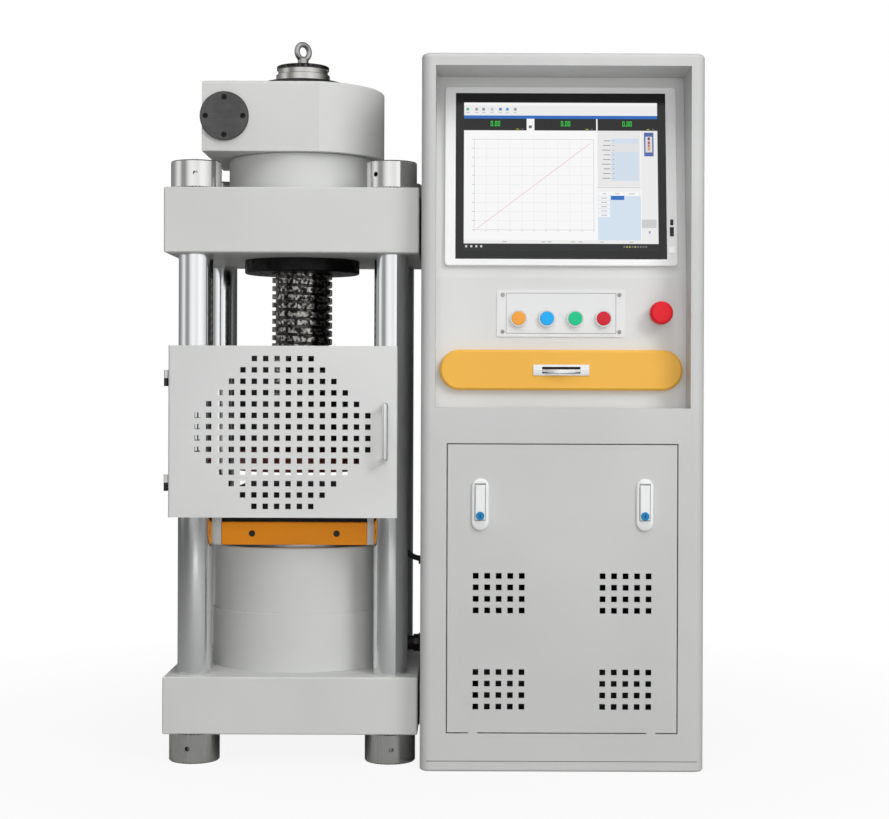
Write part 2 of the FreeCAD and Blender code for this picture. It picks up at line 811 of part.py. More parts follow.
def feed_motor():
    """The feed motor on the back of the gearbox: flange, finned body, fan cowl and terminal box."""
    worm_x = axis_x - worm_offset
    face = axis_y + gearbox_half_depth
    fins_start = face + motor_flange_thickness + 8.0
    cowl_start = face + motor_length - motor_cowl_length
    core = motor_radius - motor_fin_height
    motor = rod(motor_flange_radius, V(worm_x, face, worm_height), V(worm_x, fins_start, worm_height))
    motor = motor.fuse(rod(core, V(worm_x, face + motor_flange_thickness, worm_height),
                           V(worm_x, cowl_start, worm_height)))
    fin = box(worm_x + core - 2.0, fins_start, worm_height - motor_fin_width / 2.0,
              worm_x + motor_radius - 1.0, cowl_start, worm_height + motor_fin_width / 2.0)
    for index in range(motor_fin_count):
        turned = fin.copy()
        turned.rotate(V(worm_x, 0, worm_height), Y_AXIS, (index + 0.5) * 360.0 / motor_fin_count)
        motor = motor.fuse(turned)
    cowl = rod(motor_radius, V(worm_x, cowl_start, worm_height), V(worm_x, face + motor_length, worm_height))
    rear = [edge for edge in cowl.Edges if isinstance(edge.Curve, Part.Circle)
            and edge.CenterOfMass.y > cowl_start + 1]
    motor = motor.fuse(cowl.makeFillet(8.0, rear))
    top = box(worm_x - terminal_box_width / 2.0, fins_start + 10.0, worm_height + core - 10.0,
              worm_x + terminal_box_width / 2.0, fins_start + 10.0 + terminal_box_width,
              worm_height + motor_radius + terminal_box_height)
    top = top.makeChamfer(3.0, edges_along(top, Z_AXIS, any_place))
    motor = motor.fuse(top).removeSplitter()
    return motor.cut(rod(worm_shaft_radius + running_gap, V(worm_x, face - 1.0, worm_height),
                         V(worm_x, face + motor_flange_thickness + part_gap, worm_height)))


def hole_grid():
    """The column and row of each hole in the guard door: a block of holes with stepped corners."""
    cells = []
    for row in range(hole_rows):
        step = max(hole_corner_steps - row, hole_corner_steps - (hole_rows - 1 - row), 0)
        for column in range(step, hole_columns - step):
            cells.append((column - (hole_columns - 1) / 2.0, row - (hole_rows - 1) / 2.0))
    return cells


def guard_door():
    """The folded sheet door: perforated front, four returns and two hinge knuckles."""
    x0 = door_left
    x1 = door_left + door_width
    z0 = door_bottom
    z1 = door_bottom + door_height
    back = door_front + door_depth
    pan = box(x0, door_front, z0, x1, back, z1)
    pan = pan.makeFillet(door_bend_radius, edges_along(pan, Z_AXIS, lambda point: point.y < door_front + 1.0))
    inner = box(x0 + door_sheet, door_front + door_sheet, z0 + door_sheet, x1 - door_sheet, back + 1.0,
                z1 - door_sheet)
    inner = inner.makeFillet(door_bend_radius - door_sheet,
                             edges_along(inner, Z_AXIS,
                                         lambda point: point.y < door_front + door_sheet + 1.0))
    pan = pan.cut(inner)
    center_x = (x0 + x1) / 2.0
    center_z = (z0 + z1) / 2.0 + hole_field_rise
    half = hole_size / 2.0
    punches = []
    for column, row in hole_grid():
        x = center_x + column * hole_pitch
        z = center_z + row * hole_pitch
        punches.append(box(x - half, door_front - 1.0, z - half, x + half, door_front + door_sheet + 1.0,
                           z + half))
    pan = pan.cut(Part.makeCompound(punches))
    for center in hinge_centers:
        knuckle = disc(hinge_radius, hinge_x(), hinge_y(), center + part_gap, center + hinge_height / 2.0)
        leaf = box(hinge_x(), hinge_y() - door_sheet / 2.0, center + part_gap, x0 + 1.0,
                   hinge_y() + door_sheet / 2.0,
                   center + hinge_height / 2.0)
        knuckle = knuckle.fuse(leaf)
        pan = pan.fuse(knuckle)
        pan = pan.cut(disc(hinge_pin_radius + running_gap, hinge_x(), hinge_y(), center - 1.0,
                           center + hinge_height / 2.0 + 1.0))
    return pan.removeSplitter()


def hinge_x():
    """The hinge line, just left of the door."""
    return door_left - hinge_offset


def hinge_y():
    """The hinge line, in the depth of the door."""
    return door_front + door_depth / 2.0


def hinge_pins():
    """Two hinge pins, held in the clamps' arms."""
    return [disc(hinge_pin_radius, hinge_x(), hinge_y(), center - hinge_height / 2.0,
                 center + hinge_height / 2.0)
            for center in hinge_centers]


def front_clamps():
    """Two clamps with hinge arms on the left column, and the catch block on the right column."""
    solids = []
    outer = column_radius + clamp_thickness
    for center in hinge_centers:
        z0 = center - hinge_height / 2.0
        clamp = disc(outer, left_column_x, front_column_y, z0, center)
        arm = box(hinge_x() - hinge_radius, hinge_y(), z0, hinge_x() + hinge_radius, front_column_y, center)
        root = box(hinge_x() - hinge_radius, door_front + door_depth + hinge_root_gap, z0,
                   left_column_x - column_radius, front_column_y, center)
        clamp = clamp.fuse(arm).fuse(root).fuse(disc(hinge_radius, hinge_x(), hinge_y(), z0, center))
        clamp = clamp.cut(disc(column_radius, left_column_x, front_column_y, z0 - 1.0, center + 1.0))
        clamp = clamp.cut(disc(hinge_pin_radius, hinge_x(), hinge_y(), z0 - 1.0, center + 1.0))
        solids.append(clamp.removeSplitter())
    z0 = catch_center - clamp_height / 2.0
    z1 = catch_center + clamp_height / 2.0
    reach = door_front + door_sheet + part_gap
    right = right_column_x + column_radius - catch_from_column_edge
    catch = box(right - catch_width, reach, z0, right, front_column_y - column_radius / 2.0, z1)
    solids.append(catch.cut(disc(column_radius, right_column_x, front_column_y, z0 - 1.0, z1 + 1.0)))
    return solids


def rear_guard_front():
    """The front face of the rear guard, behind the back columns' clamps."""
    return back_column_y + column_radius + clamp_thickness


def rear_clamps():
    """Four saddle blocks behind the back columns, which the rear guard is fixed to."""
    solids = []
    for x in (left_column_x, right_column_x):
        for center in rear_clamp_centers:
            z0 = center - hinge_height / 2.0
            saddle = box(x - rear_lug_width / 2.0, back_column_y + column_radius / 2.0, z0,
                         x + rear_lug_width / 2.0, rear_guard_front(), center)
            solids.append(saddle.cut(disc(column_radius, x, back_column_y, z0 - 1.0, center + 1.0)))
    return solids


def rear_guard():
    """The plain rear guard: a sheet between the back columns, folded back at its two upright edges."""
    y = rear_guard_front()
    guard = box(door_left, y, rear_guard_bottom, door_left + door_width, y + door_depth,
                door_bottom + door_height)
    return guard.cut(box(door_left + door_sheet, y + door_sheet, rear_guard_bottom - 1.0,
                         door_left + door_width - door_sheet,
                         y + door_depth + 1.0, door_bottom + door_height + 1.0))


def guard_handle():
    """The bow handle: an upright bar on two legs."""
    x = door_left + door_width - handle_from_edge
    y = door_front - handle_stand_off + handle_radius
    half = handle_length / 2.0 - handle_radius
    bar = rod(handle_radius, V(x, y, handle_center - half), V(x, y, handle_center + half))
    for side in (-1, 1):
        corner = V(x, y, handle_center + side * half)
        bar = bar.fuse(rod(handle_radius, corner, V(x, door_front, corner.z)))
        bar = bar.fuse(Part.makeSphere(handle_radius, corner))
    return bar.removeSplitter()


def hose_ends():
    """Where the hose leaves the cylinder's fitting and where it enters the cabinet's."""
    start = axis_x + barrel_radius - 4.0 + ferrule_length
    end = cabinet_left - ferrule_length
    return V(start, axis_y, hose_height), V(end, axis_y, hose_height)


def hydraulic_hose():
    """The pressure hose between the cylinder and the cabinet."""
    start, end = hose_ends()
    return rod(hose_radius, start, end)


def hose_fittings():
    """A fitting on the cylinder's flat and one through the cabinet wall into the valve block."""
    start, end = hose_ends()
    at_cylinder = rod(ferrule_radius, start - V(ferrule_length, 0, 0), start)
    at_wall = rod(ferrule_radius, end, end + V(ferrule_length, 0, 0))
    through = rod(hose_radius, end + V(ferrule_length, 0, 0), end + V(ferrule_length + sheet, 0, 0))
    return [at_cylinder, at_wall.fuse(through).removeSplitter()]


def rounded_path(points):
    """A path of straight runs joined by tangent arcs as large as the runs allow."""
    edges = []
    start = points[0]
    for before, corner, after in zip(points, points[1:], points[2:]):
        incoming = (corner - before).normalize()
        outgoing = (after - corner).normalize()
        turn = incoming.getAngle(outgoing)
        trim = 0.45 * min((corner - before).Length, (after - corner).Length)
        radius = trim / math.tan(turn / 2.0)
        enter = corner - incoming * trim
        leave = corner + outgoing * trim
        middle_direction = (outgoing - incoming).normalize()
        sagitta = radius / math.cos(turn / 2.0) - radius
        middle = corner + middle_direction * sagitta
        edges.append(Part.LineSegment(start, enter).toShape())
        edges.append(Part.Arc(enter, middle, leave).toShape())
        start = leave
    edges.append(Part.LineSegment(start, points[-1]).toShape())
    return Part.Wire(edges)


def tube(radius, points):
    """A round lead along a rounded path."""
    path = rounded_path(points)
    direction = (points[1] - points[0]).normalize()
    section = Part.Wire(Part.makeCircle(radius, points[0], direction))
    return path.makePipeShell([section], True, True)


def sensor_lead():
    """The position sensor on the collar, its lead to the cabinet and the gland there."""
    left = axis_x + collar_radius - 8.0
    right = axis_x + collar_radius + sensor_length
    switch = box(left, axis_y - sensor_width / 2.0, sensor_top - sensor_height, right,
                 axis_y + sensor_width / 2.0, sensor_top)
    switch = switch.makeChamfer(edge_chamfer, edges_along(switch, Y_AXIS, lambda point: point.x > right - 1))
    switch = switch.cut(disc(collar_radius, axis_x, axis_y, barrel_top, collar_top + 1.0))
    gland_start = cabinet_left - gland_length
    gland = rod(gland_radius, V(gland_start, axis_y, gland_height), V(cabinet_left, axis_y, gland_height))
    gland = gland.fuse(rod(lead_radius + 1.0, V(cabinet_left, axis_y, gland_height),
                           V(cabinet_left + sheet, axis_y, gland_height)))
    exit_height = sensor_top - sensor_height * 0.28
    points = [V(right - 2.0, axis_y, exit_height), V(right + 10.0, axis_y, exit_height - 3.0),
              V(gland_start - 10.0, axis_y, gland_height + 5.5),
              V(gland_start + 2.0, axis_y, gland_height + 2.0)]
    lead = tube(lead_radius, points).cut(switch).cut(gland)
    return [switch, gland.removeSplitter(), lead]


def cabinet_outer(inset, z1):
    """The cabinet body inset by a wall: rounded front edges and rounded top."""
    body = box(cabinet_left + inset, front_plane + inset, plinth_height, right_side - inset,
               front_plane + cabinet_depth + inset, z1 - inset)
    front_edges = edges_along(body, Z_AXIS, lambda point: point.y < front_plane + inset + 1.0)
    body = body.makeFillet(front_edge_radius - inset, front_edges)
    top_edges = [edge for edge in body.Edges
                 if edge.CenterOfMass.z > z1 - inset - 0.1
                 and edge.CenterOfMass.y < front_plane + cabinet_depth - 1.0]
    return body.makeFillet(top_edge_radius - inset, top_edges)


def cabinet_shell():
    """The folded skin of the cabinet, open at the back, with the recess and door openings."""
    skin = cabinet_outer(0.0, cabinet_height)
    skin = skin.common(box(cabinet_left, front_plane, plinth_height, right_side, front_plane + cabinet_depth,
                           cabinet_height))
    skin = skin.cut(cabinet_outer(sheet, cabinet_height))
    skin = skin.cut(box(recess_left, front_plane - 1.0, recess_bottom, recess_right,
                        front_plane + sheet + 30.0,
                        recess_top))
    opening_half = lower_door_width / 2.0 + lower_door_gap
    opening_top = lower_door_bottom + lower_door_height + lower_door_gap
    skin = skin.cut(box(cabinet_x - opening_half, front_plane - 1.0, door_opening_bottom,
                        cabinet_x + opening_half,
                        front_plane + sheet + 1.0, opening_top))
    return skin


def cheek(x0, x1):
    """A side wall of the recess, from the front to the console panel."""
    y0 = front_plane
    points = [V(x0, y0, recess_bottom - sheet), V(x0, console_front + sheet, recess_bottom - sheet),
              V(x0, console_front + sheet, bend_height),
              V(x0, front_plane + console_top_depth + sheet, recess_top), V(x0, y0, recess_top)]
    return Part.Face(Part.makePolygon(points + [points[0]])).extrude(V(x1 - x0, 0, 0))


def side_panels():
    """Both side panels, each with its rounded stile and the side wall of the recess."""
    shell = cabinet_shell()
    left = shell.common(box(cabinet_left - 1.0, front_plane - 1.0, 0.0, recess_left,
                            front_plane + cabinet_depth + 1.0,
                            cabinet_height + 1.0))
    right = shell.common(box(recess_right, front_plane - 1.0, 0.0, right_side + 1.0,
                             front_plane + cabinet_depth + 1.0,
                             cabinet_height + 1.0))
    left = left.fuse(cheek(recess_left - sheet, recess_left))
    right = right.fuse(cheek(recess_right, recess_right + sheet))
    wall = rod(hose_radius, V(cabinet_left - 1.0, axis_y, hose_height),
               V(cabinet_left + sheet + 1.0, axis_y, hose_height))
    lead_hole = rod(lead_radius + 1.0, V(cabinet_left - 1.0, axis_y, gland_height),
                    V(cabinet_left + sheet + 1.0, axis_y, gland_height))
    return [left.removeSplitter().cut(wall).cut(lead_hole), right.removeSplitter()]


def top_panel():
    """The top of the cabinet with the top rail and the ceiling of the recess."""
    shell = cabinet_shell()
    top = shell.common(box(recess_left, front_plane - 1.0, recess_top - 1.0, recess_right,
                           front_plane + cabinet_depth + 1.0, cabinet_height + 1.0))
    ceiling = box(recess_left, front_plane, recess_top, recess_right, front_plane + console_top_depth + sheet,
                  recess_top + sheet)
    return top.fuse(ceiling).removeSplitter()


def front_frame():
    """The lower front: the frame round the lower door, its inner flanges and the ledge of the recess."""
    shell = cabinet_shell()
    frame = shell.common(box(recess_left, front_plane - 1.0, 0.0, recess_right, front_plane + 30.0,
                             recess_bottom + 1.0))
    frame = frame.fuse(box(recess_left, front_plane, recess_bottom - sheet, recess_right,
                           console_front + sheet,
                           recess_bottom))
    half = lower_door_width / 2.0 + lower_door_gap
    z0 = door_opening_bottom
    z1 = lower_door_bottom + lower_door_height + lower_door_gap
    outer = box(cabinet_x - half - sheet, front_plane, z0 - sheet, cabinet_x + half + sheet,
                front_plane + lower_door_depth + 2.0, z1 + sheet)
    inner = box(cabinet_x - half, front_plane - 1.0, z0, cabinet_x + half,
                front_plane + lower_door_depth + 3.0, z1)
    frame = frame.fuse(outer.cut(inner))
    stop_back = front_plane + lower_door_depth + 2.0
    stop = box(cabinet_x - half - sheet, stop_back, z0 - sheet, cabinet_x + half + sheet,
               stop_back + sheet, z1 + sheet)
    stop = stop.cut(box(cabinet_x - half + opening_flange, stop_back - 1.0, z0 + opening_flange,
                        cabinet_x + half - opening_flange, stop_back + sheet + 1.0, z1 - opening_flange))
    return frame.fuse(stop).removeSplitter()


def plinth():
    """The base pan of the cabinet with its skirt."""
    pan = box(cabinet_left, front_plane, 0.0, right_side, front_plane + cabinet_depth, plinth_height)
    pan = pan.makeFillet(front_edge_radius,
                         edges_along(pan, Z_AXIS, lambda point: point.y < front_plane + 1.0))
    low = [edge for edge in pan.Edges if edge.CenterOfMass.z < 0.1
           and edge.CenterOfMass.y < front_plane + cabinet_depth - 1.0]
    pan = pan.makeFillet(plinth_edge_radius, low)
    hollow = box(cabinet_left + stile_width, front_plane + stile_width, -1.0, right_side - stile_width,
                 front_plane + cabinet_depth - stile_width, plinth_height - 2.0 * sheet)
    return pan.cut(hollow)


def rear_panel():
    """The screwed rear panel with two fields of cooling slots."""
    back = front_plane + cabinet_depth
    panel = box(cabinet_left + sheet, back - sheet, plinth_height, right_side - sheet, back,
                cabinet_height - top_edge_radius - sheet)
    slots = []
    for field_height in rear_slot_heights:
        for index in range(rear_slot_count):
            x = cabinet_x + (index - (rear_slot_count - 1) / 2.0) * rear_slot_pitch
            slots.append(box(x - rear_slot_width / 2.0, back - sheet - 1.0,
                             field_height - rear_slot_length / 2.0,
                             x + rear_slot_width / 2.0, back + 1.0, field_height + rear_slot_length / 2.0))
    return panel.cut(Part.makeCompound(slots))


def button_places():
    """The four push buttons along the button plate."""
    return [cabinet_x + (index - 1.5) * button_pitch for index in range(4)]


def on_slope(shape):
    """Moves a piece built about the origin, facing -Y, to the monitor's place on the leaning panel."""
    distance = monitor_from_bend
    shape = shape.copy()
    shape.rotate(V(0, 0, 0), X_AXIS, -console_lean_deg)
    shape.translate(V(cabinet_x, console_front + distance * math.sin(lean),
                      bend_height + distance * math.cos(lean)))
    return shape


def console_panel():
    """The bent panel of the recess, cut for the monitor, the buttons and the drawer."""
    y = console_front
    back = sheet / math.cos(lean)
    top_y = front_plane + console_top_depth
    points = [V(recess_left, y, recess_bottom), V(recess_left, y, bend_height),
              V(recess_left, top_y, recess_top),
              V(recess_left, top_y + back, recess_top), V(recess_left, y + back, bend_height),
              V(recess_left, y + back, recess_bottom)]
    panel = Part.Face(Part.makePolygon(points + [points[0]])).extrude(V(recess_right - recess_left, 0, 0))
    monitor_hole = box(-monitor_body_width / 2.0, -20.0, -monitor_body_height / 2.0,
                       monitor_body_width / 2.0, 20.0,
                       monitor_body_height / 2.0)
    panel = panel.cut(on_slope(monitor_hole))
    for x in button_places():
        panel = panel.cut(rod(barrel_outer_radius, V(x, y - 5.0, button_height),
                              V(x, y + 5.0, button_height)))
    estop_x = cabinet_x + estop_offset
    panel = panel.cut(rod(barrel_outer_radius, V(estop_x, y - 5.0, estop_height),
                          V(estop_x, y + 5.0, estop_height)))
    half = tray_half_width + rail_size + tray_slot_clearance
    half_height = tray_height / 2.0 + tray_slot_clearance
    return panel.cut(box(cabinet_x - half, y - 5.0, drawer_center_height - half_height, cabinet_x + half,
                         y + 5.0,
                         drawer_center_height + half_height))


def monitor_bezel():
    """The metal bezel of the monitor, pocketed for the screen."""
    bezel = box(-monitor_width / 2.0, -bezel_proud, -monitor_height / 2.0, monitor_width / 2.0, 0.0,
                monitor_height / 2.0)
    bezel = bezel.makeFillet(bezel_corner, edges_along(bezel, Y_AXIS, any_place))
    front = [edge for edge in bezel.Edges if edge.CenterOfMass.y < -bezel_proud + 0.1]
    bezel = bezel.makeChamfer(bezel_chamfer, front)
    bezel = bezel.cut(box(-screen_width / 2.0, -bezel_proud - 1.0, -screen_height / 2.0,
                          screen_width / 2.0, 1.0,
                          screen_height / 2.0))
    button = rod(power_button_radius + running_gap,
                 V(power_button_offset, -bezel_proud - 1.0, -power_button_drop),
                 V(power_button_offset, -1.0, -power_button_drop))
    return on_slope(bezel.cut(button))


def screen():
    """The glass of the monitor."""
    front = -bezel_proud + screen_inset
    return on_slope(box(-screen_width / 2.0, front, -screen_height / 2.0, screen_width / 2.0,
                        front + screen_thickness,
                        screen_height / 2.0))


def monitor_housing():
    """The computer housing behind the bezel."""
    front = -bezel_proud + screen_inset + screen_thickness
    back = box(-monitor_body_width / 2.0, 0.0, -monitor_body_height / 2.0, monitor_body_width / 2.0,
               monitor_body_depth, monitor_body_height / 2.0)
    wall = monitor_body_wall
    back = back.cut(box(-monitor_body_width / 2.0 + wall, 3.0 * wall, -monitor_body_height / 2.0 + wall,
                        monitor_body_width / 2.0 - wall, monitor_body_depth + 1.0,
                        monitor_body_height / 2.0 - wall))
    face = box(-screen_width / 2.0, front, -monitor_body_height / 2.0, screen_width / 2.0, 0.5,
               monitor_body_height / 2.0)
    cover = box(-monitor_body_width / 2.0, monitor_body_depth, -monitor_body_height / 2.0,
                monitor_body_width / 2.0,
                monitor_body_depth + wall, monitor_body_height / 2.0)
    return [on_slope(back.fuse(face).removeSplitter()), on_slope(cover)]


def power_button():
    """The round power button in the bezel."""
    front = -bezel_proud - 0.8
    return on_slope(rod(power_button_radius, V(power_button_offset, front, -power_button_drop),
                        V(power_button_offset, -1.0 - power_button_travel - 0.2, -power_button_drop)))


def button_plate():
    """The plate behind the four push buttons."""
    y = console_front - plate_thickness
    plate = box(cabinet_x - plate_width / 2.0, y, plate_center_height - plate_height / 2.0,
                cabinet_x + plate_width / 2.0,
                console_front, plate_center_height + plate_height / 2.0)
    plate = plate.makeFillet(2.0, edges_along(plate, Y_AXIS, any_place))
    for x in button_places():
        plate = plate.cut(rod(barrel_outer_radius, V(x, y - 1.0, button_height),
                              V(x, y + 3.0, button_height)))
    return plate


def button_rings():
    """Four button housings and the emergency stop's, each a collar, a barrel and a contact block."""
    solids = []
    seat = console_front - plate_thickness
    for x in button_places():
        middle = V(x, 0, button_height)
        rim = seat - button_ring_height
        floor = rim - button_proud + button_cap_thickness + button_travel + 0.3
        housing = rod(button_ring_radius, middle + V(0, rim, 0), middle + V(0, seat, 0))
        housing = housing.fuse(rod(barrel_outer_radius, middle + V(0, seat, 0),
                                   middle + V(0, seat + barrel_length, 0)))
        housing = housing.cut(rod(button_cap_radius + button_cap_clearance, middle + V(0, rim - 1.0, 0),
                                  middle + V(0, floor, 0)))
        housing = housing.cut(rod(button_stem_radius + button_cap_clearance, middle + V(0, rim, 0),
                                  middle + V(0, seat + barrel_length - 4.0, 0)))
        half = contact_block_size / 2.0
        start = seat + barrel_length
        block = box(x - half, start, button_height - half, x + half, start + contact_block_depth,
                    button_height + half)
        solids.append(housing.fuse(block).removeSplitter())
    x = cabinet_x + estop_offset
    middle = V(x, 0, estop_height)
    rim = console_front - estop_collar_height
    housing = rod(estop_collar_radius, middle + V(0, rim, 0), middle + V(0, console_front, 0))
    housing = housing.fuse(rod(barrel_outer_radius, middle + V(0, console_front, 0),
                               middle + V(0, console_front + barrel_length, 0)))
    housing = housing.cut(rod(button_stem_radius + button_cap_clearance, middle + V(0, rim - 1.0, 0),
                              middle + V(0, console_front + barrel_length - 4.0, 0)))
    half = contact_block_size / 2.0
    start = console_front + barrel_length
    block = box(x - half, start, estop_height - half, x + half, start + contact_block_depth,
                estop_height + half)
    solids.append(housing.fuse(block).removeSplitter())
    return solids


def push_button(index):
    """The coloured cap of one push button on its stem."""
    x = button_places()[index]
    rim = console_front - plate_thickness - button_ring_height
    front = rim - button_proud
    middle = V(x, 0, button_height)
    cap = rod(button_cap_radius, middle + V(0, front, 0), middle + V(0, front + button_cap_thickness, 0))
    edge = [item for item in cap.Edges if isinstance(item.Curve, Part.Circle)
            and item.CenterOfMass.y < front + 0.1]
    cap = cap.makeFillet(1.2, edge)
    stem = rod(button_stem_radius, middle + V(0, front + 1.0, 0),
               middle + V(0, console_front - plate_thickness + barrel_length - 4.0 - button_travel - 0.3, 0))
    return cap.fuse(stem).removeSplitter()


def estop_button():
    """The mushroom head of the emergency stop on its stem."""
    x = cabinet_x + estop_offset
    back = console_front - estop_collar_height - estop_travel - 0.3
    front = back - estop_head_height
    middle = V(x, 0, estop_height)
    head = rod(estop_radius, middle + V(0, front, 0), middle + V(0, back, 0))
    edge = [item for item in head.Edges if isinstance(item.Curve, Part.Circle)
            and item.CenterOfMass.y < front + 0.1]
    head = head.makeFillet(6.0, edge)
    stem = rod(button_stem_radius, middle + V(0, front + 8.0, 0),
               middle + V(0, console_front + barrel_length - 4.0 - estop_travel - 0.3, 0))
    return head.fuse(stem).removeSplitter()


def drawer_front():
    """The drawer's front panel with round ends and a bevelled rim."""
    y = console_front - part_gap - drawer_front_thickness
    panel = stadium(drawer_front_width, drawer_front_height, drawer_front_thickness, cabinet_x, y,
                    drawer_center_height)
    rim = [edge for edge in panel.Edges if edge.CenterOfMass.y < y + 0.1]
    return panel.makeChamfer(drawer_bevel, rim)


def drawer_tray():
    """The open tray behind the front, with a rail on each side."""
    front = console_front - part_gap
    back = front + tray_depth
    z0 = drawer_center_height - tray_height / 2.0
    z1 = z0 + tray_height
    half = tray_half_width
    tray = box(cabinet_x - half, front, z0, cabinet_x + half, back, z1)
    tray = tray.cut(box(cabinet_x - half + tray_wall, front + tray_wall, z0 + tray_wall,
                        cabinet_x + half - tray_wall,
                        back - tray_wall, z1 + 1.0))
    for side in (-1, 1):
        inner = cabinet_x + side * half
        outer = cabinet_x + side * (half + rail_size)
        rail = box(min(inner, outer), front + 6.0, drawer_center_height - rail_size / 2.0,
                   max(inner, outer), back,
                   drawer_center_height + rail_size / 2.0)
        tray = tray.fuse(rail)
    return tray.removeSplitter()


def drawer_runners():
    """Two fixed runners on shelf brackets that reach the side panels."""
    solids = []
    front = console_front + sheet + 1.0
    back = front + tray_depth
    gap = part_gap
    half_height = rail_size / 2.0 + gap + runner_thickness
    for side in (-1, 1):
        inner = cabinet_x + side * (tray_half_width + 1.5)
        web = cabinet_x + side * (tray_half_width + rail_size + gap)
        outer = cabinet_x + side * (tray_half_width + rail_size + gap + runner_thickness)
        wall = cabinet_x + side * (cabinet_width / 2.0 - sheet)
        runner = box(min(inner, outer), front, drawer_center_height - half_height, max(inner, outer), back,
                     drawer_center_height + half_height)
        runner = runner.cut(box(min(inner, web) - (1.0 if side > 0 else 0.0), front - 1.0,
                                drawer_center_height - rail_size / 2.0 - gap,
                                max(inner, web) + (1.0 if side < 0 else 0.0), back + 1.0,
                                drawer_center_height + rail_size / 2.0 + gap))
        shelf_front = front_plane + console_top_depth
        runner = runner.fuse(box(min(outer, wall), shelf_front, drawer_center_height - half_height,
                                 max(outer, wall), back,
                                 drawer_center_height - half_height + runner_thickness))
        solids.append(runner.removeSplitter())
    return solids


def drawer_pull():
    """The silver plate of the pull and its bow."""
    y = console_front - part_gap - drawer_front_thickness - pull_thickness
    plate = box(cabinet_x - pull_width / 2.0, y, drawer_center_height - pull_height / 2.0,
                cabinet_x + pull_width / 2.0,
                y + pull_thickness, drawer_center_height + pull_height / 2.0)
    plate = plate.makeFillet(3.0, edges_along(plate, Y_AXIS, any_place))
    half = bow_length / 2.0 - bow_radius
    bar_y = y - bow_stand_off + bow_radius
    bow = rod(bow_radius, V(cabinet_x - half, bar_y, drawer_center_height),
              V(cabinet_x + half, bar_y, drawer_center_height))
    for side in (-1, 1):
        corner = V(cabinet_x + side * half, bar_y, drawer_center_height)
        bow = bow.fuse(Part.makeSphere(bow_radius, corner))
        bow = bow.fuse(rod(bow_radius, corner, V(corner.x, y + 0.5, corner.z)))
    return plate.fuse(bow).removeSplitter()


def lower_door():
    """The lift-off door: a folded pan with four groups of square vents, standing on two tabs."""
    x0 = cabinet_x - lower_door_width / 2.0
    x1 = cabinet_x + lower_door_width / 2.0
    z0 = lower_door_bottom
    z1 = z0 + lower_door_height
    pan = box(x0, front_plane, z0, x1, front_plane + lower_door_depth, z1)
    pan = pan.cut(box(x0 + sheet, front_plane + sheet, z0 + sheet, x1 - sheet,
                      front_plane + lower_door_depth + 1.0,
                      z1 - sheet))
    punches = []
    half = vent_size / 2.0
    for side in (-1, 1):
        for field_height in vent_group_heights:
            for column in range(vent_columns):
                for row in range(vent_rows):
                    x = cabinet_x + side * vent_group_offset
                    x += (column - (vent_columns - 1) / 2.0) * vent_pitch
                    z = field_height + (row - (vent_rows - 1) / 2.0) * vent_pitch
                    punches.append(box(x - half, front_plane - 1.0, z - half, x + half,
                                       front_plane + sheet + 1.0, z + half))
    pan = pan.cut(Part.makeCompound(punches))
    for side in (-1, 1):
        x = cabinet_x + side * door_tab_offset
        pan = pan.fuse(box(x - door_tab_width / 2.0, front_plane, door_opening_bottom + running_gap,
                           x + door_tab_width / 2.0, front_plane + door_tab_depth, z0 + sheet))
    return pan.removeSplitter()


def lever_pivot_height():
    """The height of the levers' pivots, near the top of the lock plates."""
    return lock_center + lock_height / 2.0 - 14.0


def lock_bases():
    """Two lock plates with round ends, recessed for their levers."""
    solids = []
    for side in (-1, 1):
        x = cabinet_x + side * lock_offset
        base = upright_stadium(lock_width, lock_height, lock_proud, x, front_plane - lock_proud, lock_center)
        rim = [edge for edge in base.Edges if edge.CenterOfMass.y < front_plane - lock_proud + 0.1]
        base = base.makeChamfer(1.5, rim)
        half = lever_width / 2.0 + 1.0
        recess = box(x - half, front_plane - lock_proud - 1.0, lever_pivot_height() - lever_length - 1.5,
                     x + half,
                     front_plane + 1.0, lever_pivot_height() + lever_swing_room)
        base = base.cut(recess)
        solids.append(base.cut(lever_pivot(side, lever_pivot_radius + running_gap, half + 2.5)))
    return solids


def lever_pivot(side, radius, half):
    """A round bar on the line a lever turns about."""
    middle = V(cabinet_x + side * lock_offset, front_plane - lever_pivot_depth, lever_pivot_height())
    return rod(radius, middle - V(half, 0, 0), middle + V(half, 0, 0))


def lock_lever(side):
    """One lever in its lock plate."""
    x = cabinet_x + side * lock_offset
    half = lever_width / 2.0
    front = front_plane - lever_proud
    pivot = lever_pivot_height()
    lever = box(x - half, front, pivot - lever_length, x + half, front + lever_thickness, pivot + 3.0)
    lever = lever.makeChamfer(1.5, [edge for edge in lever.Edges if edge.CenterOfMass.y < front + 0.1])
    lever = lever.fuse(lever_pivot(side, lever_knuckle_radius, half))
    return lever.fuse(lever_pivot(side, lever_pivot_radius, half + 3.0)).removeSplitter()


def oil_tank():
    """The oil tank on the base pan, with its lid and filler."""
    x1 = right_side - sheet - tank_side_gap
    x0 = x1 - tank_width
    y0 = front_plane + tank_front_gap
    y1 = y0 + tank_depth
    top = plinth_height + tank_height
    tank = box(x0, y0, plinth_height, x1, y1, top)
    tank = tank.cut(box(x0 + tank_wall, y0 + tank_wall, plinth_height + tank_wall, x1 - tank_wall,
                        y1 - tank_wall,
                        top + 1.0))
    lid = box(x0 - tank_lid_overhang, y0 - tank_lid_overhang, top, x1 + tank_lid_overhang,
              y1 + tank_lid_overhang,
              top + tank_lid)
    filler = disc(filler_radius, x1 - filler_inset, y0 + filler_inset, top + tank_lid - 1.0,
                  top + tank_lid + filler_height)
    return [tank, lid.fuse(filler).removeSplitter()]


def tank_left():
    """The left edge of the tank."""
    return right_side - sheet - tank_side_gap - tank_width


